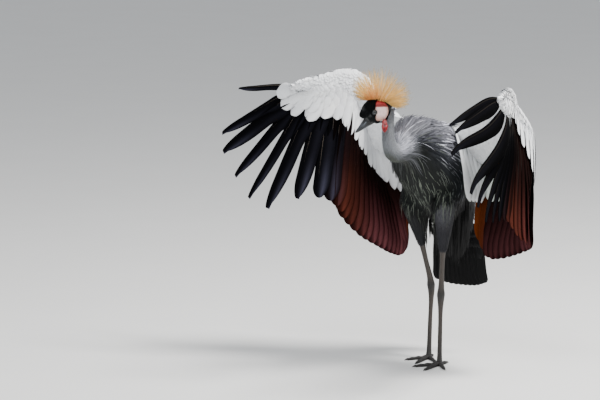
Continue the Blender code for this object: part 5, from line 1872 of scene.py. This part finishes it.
@dataclass
class Leg:
    """One scaled leg from the feathering to the claws."""

    label: str
    foot: tuple
    ankle: tuple
    knee: tuple
    toe_lengths: tuple = (0.066, 0.086, 0.072, 0.036)
    toe_angles: tuple = (-38.0, 2.0, 42.0, 188.0)
    toe_radius: float = 0.0060
    claw_length: float = 0.013
    ankle_radius: float = 0.0112
    shank_radius: float = 0.0072
    scute: float = 0.0052

    def scutes(self, run: Array, turn: Array, front: float, height: float,
               pitch: float) -> Array:
        """Work out raised plates: each rises to its lower rim and drops to the next.

        Args:
            run: distance down the leg or along the toe.
            turn: angle round it.
            front: angle of the plates' middle.
            height: rise of a plate.
            pitch: length of a plate.

        Returns:
            Height at each grid point.
        """
        phase = (run / pitch) % 1.0
        plate = phase**1.6 * step_up(1.0, 0.86, phase)
        sector = step_up(0.15, 0.55, np.cos(turn - front))
        pebble = 0.35 * np.sin(run / 0.0009)[:, None] * np.sin(turn * 9.0)
        return height * (plate[:, None] * sector + pebble * (1.0 - sector) * 0.5)

    def limb(self) -> Sheet:
        """Make the bare shank, the knobbed ankle and the tarsus as one tube."""
        ankle, knee = np.array(self.ankle), np.array(self.knee)
        bare = ankle + (knee - ankle) * 0.58
        sole = np.array([self.foot[0], self.foot[1], 0.0])
        knots = np.array([bare, bare + (ankle - bare) * 0.5, bare + (ankle - bare) * 0.9,
                          ankle + (sole - ankle) * 0.06, ankle + (sole - ankle) * 0.5,
                          ankle + (sole - ankle) * 0.93, sole + [0.0, 0.0, 0.007]])
        places = np.array([0.0, 0.22, 0.42, 0.52, 0.76, 0.96, 1.0])
        k = np.linspace(0.0, 1.0, 300)
        path = smooth(places, knots, k)
        radius = smooth((0.0, 0.10, 0.30, 0.42, 0.475, 0.52, 0.60, 0.80, 0.94, 1.0),
                        (0.0095, 0.0075, 0.0073, 0.0092, 0.0112, 0.0100, 0.0072, 0.0062, 0.0074,
                         0.0092), k)
        turn = np.linspace(0.0, 2.0 * math.pi, 32, endpoint=False)
        run = np.concatenate([[0.0], np.cumsum(np.linalg.norm(np.diff(path, axis=0), axis=1))])
        relief = self.scutes(run, turn, math.pi / 2, 0.00055, self.scute)
        sheet = tube_sheet(path, radius, radius * 1.06, 32, np.array((0.0, -1.0, 0.0)), relief)
        joint = np.exp(-((k - 0.48) / 0.07) ** 2)
        shade = mixed(Plumage.LEG, Plumage.LEG_DARK, np.clip(joint + step_up(0.7, 1.0, k), 0, 1))
        plate = np.clip(relief / 0.0005, 0.0, 1.0)
        colour = shade[:, None] * (0.72 + 0.45 * plate)[..., None]
        colour = np.concatenate([colour[:1], colour, colour[-1:]])
        sheet.marking = colour.reshape(-1, 3)
        return sheet

    def toe(self, length: float, angle: float) -> Sheet:
        """Make a toe: jointed pads below, plates above, resting flat on the floor."""
        side = 1.0 if self.label == "left" else -1.0
        heading = math.radians(angle)
        way = np.array([-math.sin(heading) * side, -math.cos(heading), 0.0])
        k = np.linspace(0.0, 1.0, 96)
        girth = self.toe_radius * smooth((0.0, 0.32, 0.64, 1.0), (1.15, 0.90, 0.86, 0.58), k)
        pads = 3 if length > 0.05 else 2
        girth = girth * (1.0 + 0.07 * np.cos(k * pads * 2.0 * math.pi + math.pi))
        turn = np.linspace(0.0, 2.0 * math.pi, 24, endpoint=False)
        sole = np.array([self.foot[0], self.foot[1], 0.0])
        path = sole + way * (k * length)[:, None] + np.array([0, 0, 1.0]) * (girth * 0.86)[:, None]
        relief = self.scutes(k * length, turn, math.pi / 2, 0.0004, 0.0036)
        sheet = tube_sheet(path, girth, girth * 0.95, 24, np.array((0.0, 0.0, 1.0)), relief)
        sheet.points[:, 2] = np.maximum(sheet.points[:, 2], 0.0)
        plate = np.clip(relief / 0.00036, 0.0, 1.0)
        colour = Plumage.LEG_DARK * (0.85 + 0.9 * plate)[..., None]
        sheet.marking = np.concatenate([colour[:1], colour, colour[-1:]]).reshape(-1, 3)
        return sheet

    def claw(self, length: float, angle: float) -> Sheet:
        """Make a curved claw that rests its tip near the floor."""
        side = 1.0 if self.label == "left" else -1.0
        heading = math.radians(angle)
        way = np.array([-math.sin(heading) * side, -math.cos(heading), 0.0])
        k = np.linspace(0.0, 1.0, 24)
        start = np.array([self.foot[0], self.foot[1], 0.0]) + way * (length - 0.001)
        path = (start + way * (k * (self.claw_length + 0.001))[:, None]
                + np.array([0, 0, 1.0]) * (0.0040 + 0.0012 * k - 0.0045 * k**2)[:, None])
        girth = self.toe_radius * 0.56 * (1.0 - k**1.6) + 0.0001
        sheet = tube_sheet(path, girth * 0.8, girth, 16, np.array((0.0, 0.0, 1.0)))
        sheet.marking = np.broadcast_to(Plumage.CLAW, sheet.points.shape).copy()
        return sheet

    def build(self, scale: bpy.types.Material, horn: bpy.types.Material) -> None:
        """Make the leg's skin and its claws."""
        toes = [self.toe(n, a) for n, a in zip(self.toe_lengths, self.toe_angles)]
        names = tuple("%s_%s" % (part, self.label) for part in ("shank", "tarsus", "foot"))
        self.limb().joined(*toes).build("leg_%s_skin" % self.label, scale, names[1], names,
                                        weld=True)
        for number, (n, a) in enumerate(zip(self.toe_lengths, self.toe_angles)):
            node = "claw_%s_%d" % (self.label, number + 1)
            self.claw(n, a).build(node + "_horn", horn, node, (node,), weld=True)


@dataclass
class Studio:
    """Pale floor, soft lights and the camera at the photograph's angle."""

    azimuth: float = 28.0
    elevation: float = 8.0
    distance: float = 9.0
    lens: float = 189.0
    aim_right: float = 134.0
    aim_down: float = 162.0
    pixels_per_metre: float = 350.0

    def camera(self) -> None:
        """Set the camera so that the point between the feet falls at its place in the frame."""
        turn, lift = math.radians(self.azimuth), math.radians(self.elevation)
        right = np.array([math.cos(turn), math.sin(turn), 0.0])
        flat = np.array([-math.sin(turn), math.cos(turn), 0.0])
        ahead = flat * math.cos(lift) + DOWN * math.sin(lift)
        up = flat * math.sin(lift) - DOWN * math.cos(lift)
        spot = ORIGIN - (right * self.aim_right / self.pixels_per_metre
                         - up * self.aim_down / self.pixels_per_metre + ahead * self.distance)
        data = bpy.data.cameras.new("camera")
        data.lens, data.sensor_width = self.lens, 36.0
        data.clip_end = 100.0
        camera = bpy.data.objects.new("camera", data)
        bpy.context.scene.collection.objects.link(camera)
        camera.location = Vector(spot)
        camera.rotation_euler = Vector(ahead).to_track_quat("-Z", "Y").to_euler()
        bpy.context.scene.camera = camera

    def lamp(self, name: str, azimuth: float, elevation: float, far: float, size: float,
             power: float, colour: tuple) -> None:
        """Hang one soft square light, aimed at the bird.

        Args:
            name: light name.
            azimuth: its side, as the camera's azimuth counts.
            elevation: its height angle.
            far: distance.
            size: edge length.
            power: watts.
            colour: red, green, blue.
        """
        turn, lift = math.radians(azimuth), math.radians(elevation)
        way = np.array([math.sin(turn) * math.cos(lift), -math.cos(turn) * math.cos(lift),
                        math.sin(lift)])
        data = bpy.data.lights.new(name, "AREA")
        data.shape, data.size, data.energy, data.color = "SQUARE", size, power, colour
        lamp = bpy.data.objects.new(name, data)
        bpy.context.scene.collection.objects.link(lamp)
        lamp.location = Vector(ORIGIN + np.array([0.0, 0.0, 0.55]) + way * far)
        lamp.rotation_euler = Vector(-way).to_track_quat("-Z", "Y").to_euler()

    def floor(self) -> None:
        """Lay a wide pale round floor."""
        mesh = bpy.data.meshes.new("floor")
        shape = bmesh.new()
        bmesh.ops.create_circle(shape, cap_ends=True, radius=30.0, segments=96)
        shape.to_mesh(mesh)
        shape.free()
        shader = Shader("pale_floor")
        place = shader.value("ShaderNodeTexCoord", "Object", {}, {})
        cloud = shader.noise(place, 3.0)
        colour = shader.blend(cloud, (0.80, 0.80, 0.79, 1.0), (0.84, 0.84, 0.83, 1.0))
        mesh.materials.append(shader.finish(colour, None, 0.0, {"Roughness": 0.7}))
        floor = bpy.data.objects.new("floor", mesh)
        bpy.context.scene.collection.objects.link(floor)
        floor.location = (0.0, 0.0, -0.0002)

    def build(self) -> None:
        """Make the whole studio."""
        self.camera()
        self.floor()
        world = bpy.data.worlds.new("studio")
        world.use_nodes = True
        world.node_tree.nodes["Background"].inputs[0].default_value = (0.93, 0.96, 1.0, 1.0)
        world.node_tree.nodes["Background"].inputs[1].default_value = 0.60
        bpy.context.scene.world = world
        self.lamp("key", 95.0, 58.0, 4.0, 1.3, 360.0, (1.0, 0.98, 0.95))
        self.lamp("front", 0.0, 50.0, 5.0, 2.4, 130.0, (1.0, 1.0, 1.0))


def wing_fans() -> tuple:
    """Set out the two wings' surfaces from the same named places as the solids."""
    root_places = (-0.5, 9.5, 23.0, 28.5)
    edge_places = (-0.5, 4.5, 9.5, 19.0, 28.5)
    tip_places = (0, 1, 2, 3, 4, 5, 6, 7, 9, 11, 14, 17, 20, 23, 25, 27)
    bow_places = (0, 1.5, 4, 9, 13, 18, 23, 27)
    left_places = (0, 1, 2, 3, 4, 5, 9, 13, 18, 23, 27)
    thick = ((-0.5, 4.0, 9.5, 16.0, 23.0, 28.5), (0.0060, 0.0105, 0.0130, 0.0145, 0.0170, 0.0220))
    left = Fan(
        1,
        (root_places, ((0.323, -0.253, 0.791), (0.272, -0.113, 0.786), (0.240, 0.045, 0.628),
                       (0.092, 0.058, 0.602))),
        (edge_places, ((0.327, -0.262, 0.800), (0.301, -0.189, 0.812), (0.268, -0.120, 0.808),
                       (0.165, -0.058, 0.722), (0.070, -0.030, 0.680))),
        (tip_places, ((0.305, -0.549, 0.752), (0.330, -0.568, 0.731), (0.316, -0.560, 0.676),
                      (0.350, -0.508, 0.569), (0.345, -0.450, 0.525), (0.333, -0.376, 0.476),
                      (0.325, -0.312, 0.465), (0.316, -0.250, 0.460), (0.303, -0.163, 0.446),
                      (0.315, -0.130, 0.405), (0.334, -0.088, 0.371), (0.313, -0.057, 0.354),
                      (0.262, -0.040, 0.333), (0.205, -0.028, 0.317), (0.172, -0.018, 0.318),
                      (0.150, -0.020, 0.362))),
        (left_places, ((0, 0, 0.014), (0.003, 0.002, 0), (0.020, 0.011, -0.022),
                       (0.028, 0.015, -0.024), (0.024, 0.013, -0.016), (0.020, 0.011, -0.008),
                       (0.016, 0.010, 0),
                       (0.014, 0.008, 0), (0.012, 0.010, 0), (0, 0.012, 0), (0, 0.010, 0))),
        (thick[0], (0.0085, 0.0190, 0.0225, 0.0175, 0.0170, 0.0220)))
    right = Fan(
        -1,
        (root_places, ((-0.374, -0.128, 0.769), (-0.245, -0.065, 0.795), (-0.207, 0.056, 0.626),
                       (-0.092, 0.058, 0.602))),
        (edge_places, ((-0.388, -0.135, 0.783), (-0.308, -0.100, 0.816), (-0.237, -0.068, 0.837),
                       (-0.150, -0.025, 0.757), (-0.070, -0.050, 0.690))),
        (tip_places, ((-0.639, 0.001, 0.749), (-0.655, -0.066, 0.622), (-0.639, -0.085, 0.574),
                      (-0.586, -0.105, 0.505), (-0.500, -0.175, 0.456), (-0.425, -0.195, 0.437),
                      (-0.345, -0.166, 0.468), (-0.297, -0.141, 0.471), (-0.247, -0.121, 0.449),
                      (-0.232, -0.106, 0.412), (-0.197, -0.068, 0.359), (-0.164, -0.026, 0.327),
                      (-0.139, 0.012, 0.303), (-0.124, 0.046, 0.296), (-0.118, 0.058, 0.318),
                      (-0.118, 0.060, 0.360))),
        (bow_places, ((0, 0, 0.010), (0, 0, 0.006), (-0.006, 0.004, 0.004), (-0.004, 0.006, 0),
                      (-0.004, 0.010, 0), (-0.004, 0.012, 0), (-0.006, 0.012, 0),
                      (-0.004, 0.010, 0))),
        thick)
    return left, right


def tail_fan() -> Fan:
    """Set out the tail's surface from the same named places as the solids."""
    ends = (-0.5, 11.5)
    return Fan(1, ((-0.5, 5.5, 11.5), ((0.026, 0.132, 0.398), (0.0, 0.136, 0.400),
                                       (-0.026, 0.132, 0.398))),
               ((-0.5, 5.5, 11.5), ((0.018, 0.108, 0.440), (0.0, 0.110, 0.442),
                                    (-0.018, 0.108, 0.440))),
               ((0, 2.5, 5.5, 8.5, 11), ((0.076, 0.178, 0.208), (0.044, 0.189, 0.197),
                                         (0.0, 0.193, 0.194), (-0.044, 0.189, 0.197),
                                         (-0.076, 0.178, 0.208))),
               (ends, ((0.018, 0.010, 0.004), (-0.020, 0.010, 0.004))), (ends, (0.0113, 0.0113)))


def main() -> None:
    """Build the bird's pieces in order, then the studio."""
    logging.basicConfig(level=logging.INFO, format="%(message)s")
    finishes = {
        "down": FeatherFinish("body_feather", 0.62, 0.05, 0.18).build(),
        "flight": FeatherFinish("flight_feather", 0.72, 0.0, 0.02, streak=0.24).build(),
        "covert": FeatherFinish("covert_feather", 0.60, 0.10, streak=0.10).build(),
        "tail": FeatherFinish("tail_feather", 0.50, 0.0, 0.12).build(),
        "velvet": FeatherFinish("velvet_feather", 0.85, 0.03, 0.10, streak=0.2).build(),
        "crest": FeatherFinish("crest_bristle", 0.45, 0.10, streak=0.1).build(),
        "skin": SkinFinish("hidden_skin", 0.8).build(),
        "face": SkinFinish("face_skin", 0.55, scale=700.0, mottle=0.24, glow=0.1).build(),
        "lid": SkinFinish("lid_skin", 0.45, scale=1500.0).build(),
        "wattle": SkinFinish("wattle_skin", 0.38, scale=900.0, coat=0.2, glow=0.1).build(),
        "horn": SkinFinish("bill_horn", 0.45, scale=500.0, mottle=0.12,
                           depth=0.00006).build(),
        "claw": SkinFinish("claw_horn", 0.4, scale=500.0, depth=0.00006).build(),
        "scale": SkinFinish("leg_scale", 0.55, scale=750.0, mottle=0.30, depth=0.0003).build(),
        "eye": SkinFinish("eye_ball", 0.22, scale=200.0, mottle=0.05, depth=0.0,
                          coat=0.3).build(),
    }
    left, right = wing_fans()
    broad = (0, 1, 3, 6, 10, 20, 27)
    # Left under coverts: white painted greyer and grey-green, as painted shade.
    grey = (Plumage.COVERT * 0.92, Plumage.UNDER_COVERT_SHADE)
    wings = [
        # The left wing's 0.70 is painted shade on its inner secondaries and its 0.04 a little painted sheen;
        # the right wing has no painted shade and 0.60 of painted sheen.
        Wing("left", left, ((0, 1, 3, 4, 5.5, 8, 10, 20, 27),
                            (0.0140, 0.0185, 0.0180, 0.0150, 0.0105, 0.0090, 0.0150, 0.0235, 0.0235)),
             ((-0.5, 5.0, 10.0, 15.0, 19.0, 21.0, 23.0, 25.0, 27.0, 28.5),
              (0.10, 0.11, 0.16, 0.26, 0.34, 0.39, 0.45, 0.51, 0.57, 0.60)),
             ((-0.5, 4.0, 9.5, 13.0, 17.0, 19.0, 28.5), (0.13, 0.15, 0.22, 0.34, 0.48, 0.52, 0.52)),
             grey, 0.70, ((0, 1, 2, 3, 4, 8, 11, 28), (0.0, 0.0, 0.25, 0.55, 0.95, 0.95, 0.0, 0.0)),
             ((0.064, -0.034, -0.200), (0.037, -0.020, -0.140), (0.010, -0.026, 0.003)), 0.04, 0.46),
        Wing("right", right, (broad, (0.0095, 0.0215, 0.0235, 0.0250, 0.0255, 0.0250, 0.0230)),
             ((-0.5, 1.0, 4.0, 8.0, 9.5, 11.0, 13.0, 17.0, 21.0, 23.0, 25.0, 28.5),
              (0.31, 0.33, 0.31, 0.34, 0.355, 0.37, 0.38, 0.40, 0.38, 0.40, 0.48, 0.54)),
             ((-0.5, 9.5, 15.0, 19.0, 28.5), (0.28, 0.33, 0.44, 0.48, 0.50)),
             # Right under coverts: painted greyer towards the body, as painted shade.
             (Plumage.COVERT, Plumage.COVERT * 0.85), 0.0, ((0, 28), (0.0, 0.0)),
             ((-0.030, -0.004, -0.150), (-0.012, -0.012, -0.130), (0.0, 0.0, 0.0)), 0.60, 0.22),
    ]
    trunk = Trunk([wing.arm() for wing in wings])
    trunk.build(finishes["skin"], finishes["down"], finishes["covert"])
    for wing in wings:
        wing.build(finishes["flight"], finishes["covert"])
    Tail(tail_fan()).build(finishes["tail"])
    Head().build(finishes, trunk.neck)
    for number, (label, foot) in enumerate((("left", (0.036, -0.040)), ("right", (-0.036, 0.040)))):
        Leg(label, foot, trunk.ankles[number], trunk.knees[number]).build(finishes["scale"],
                                                                          finishes["claw"])
    Studio().build()


if __name__ == "__main__":
    main()
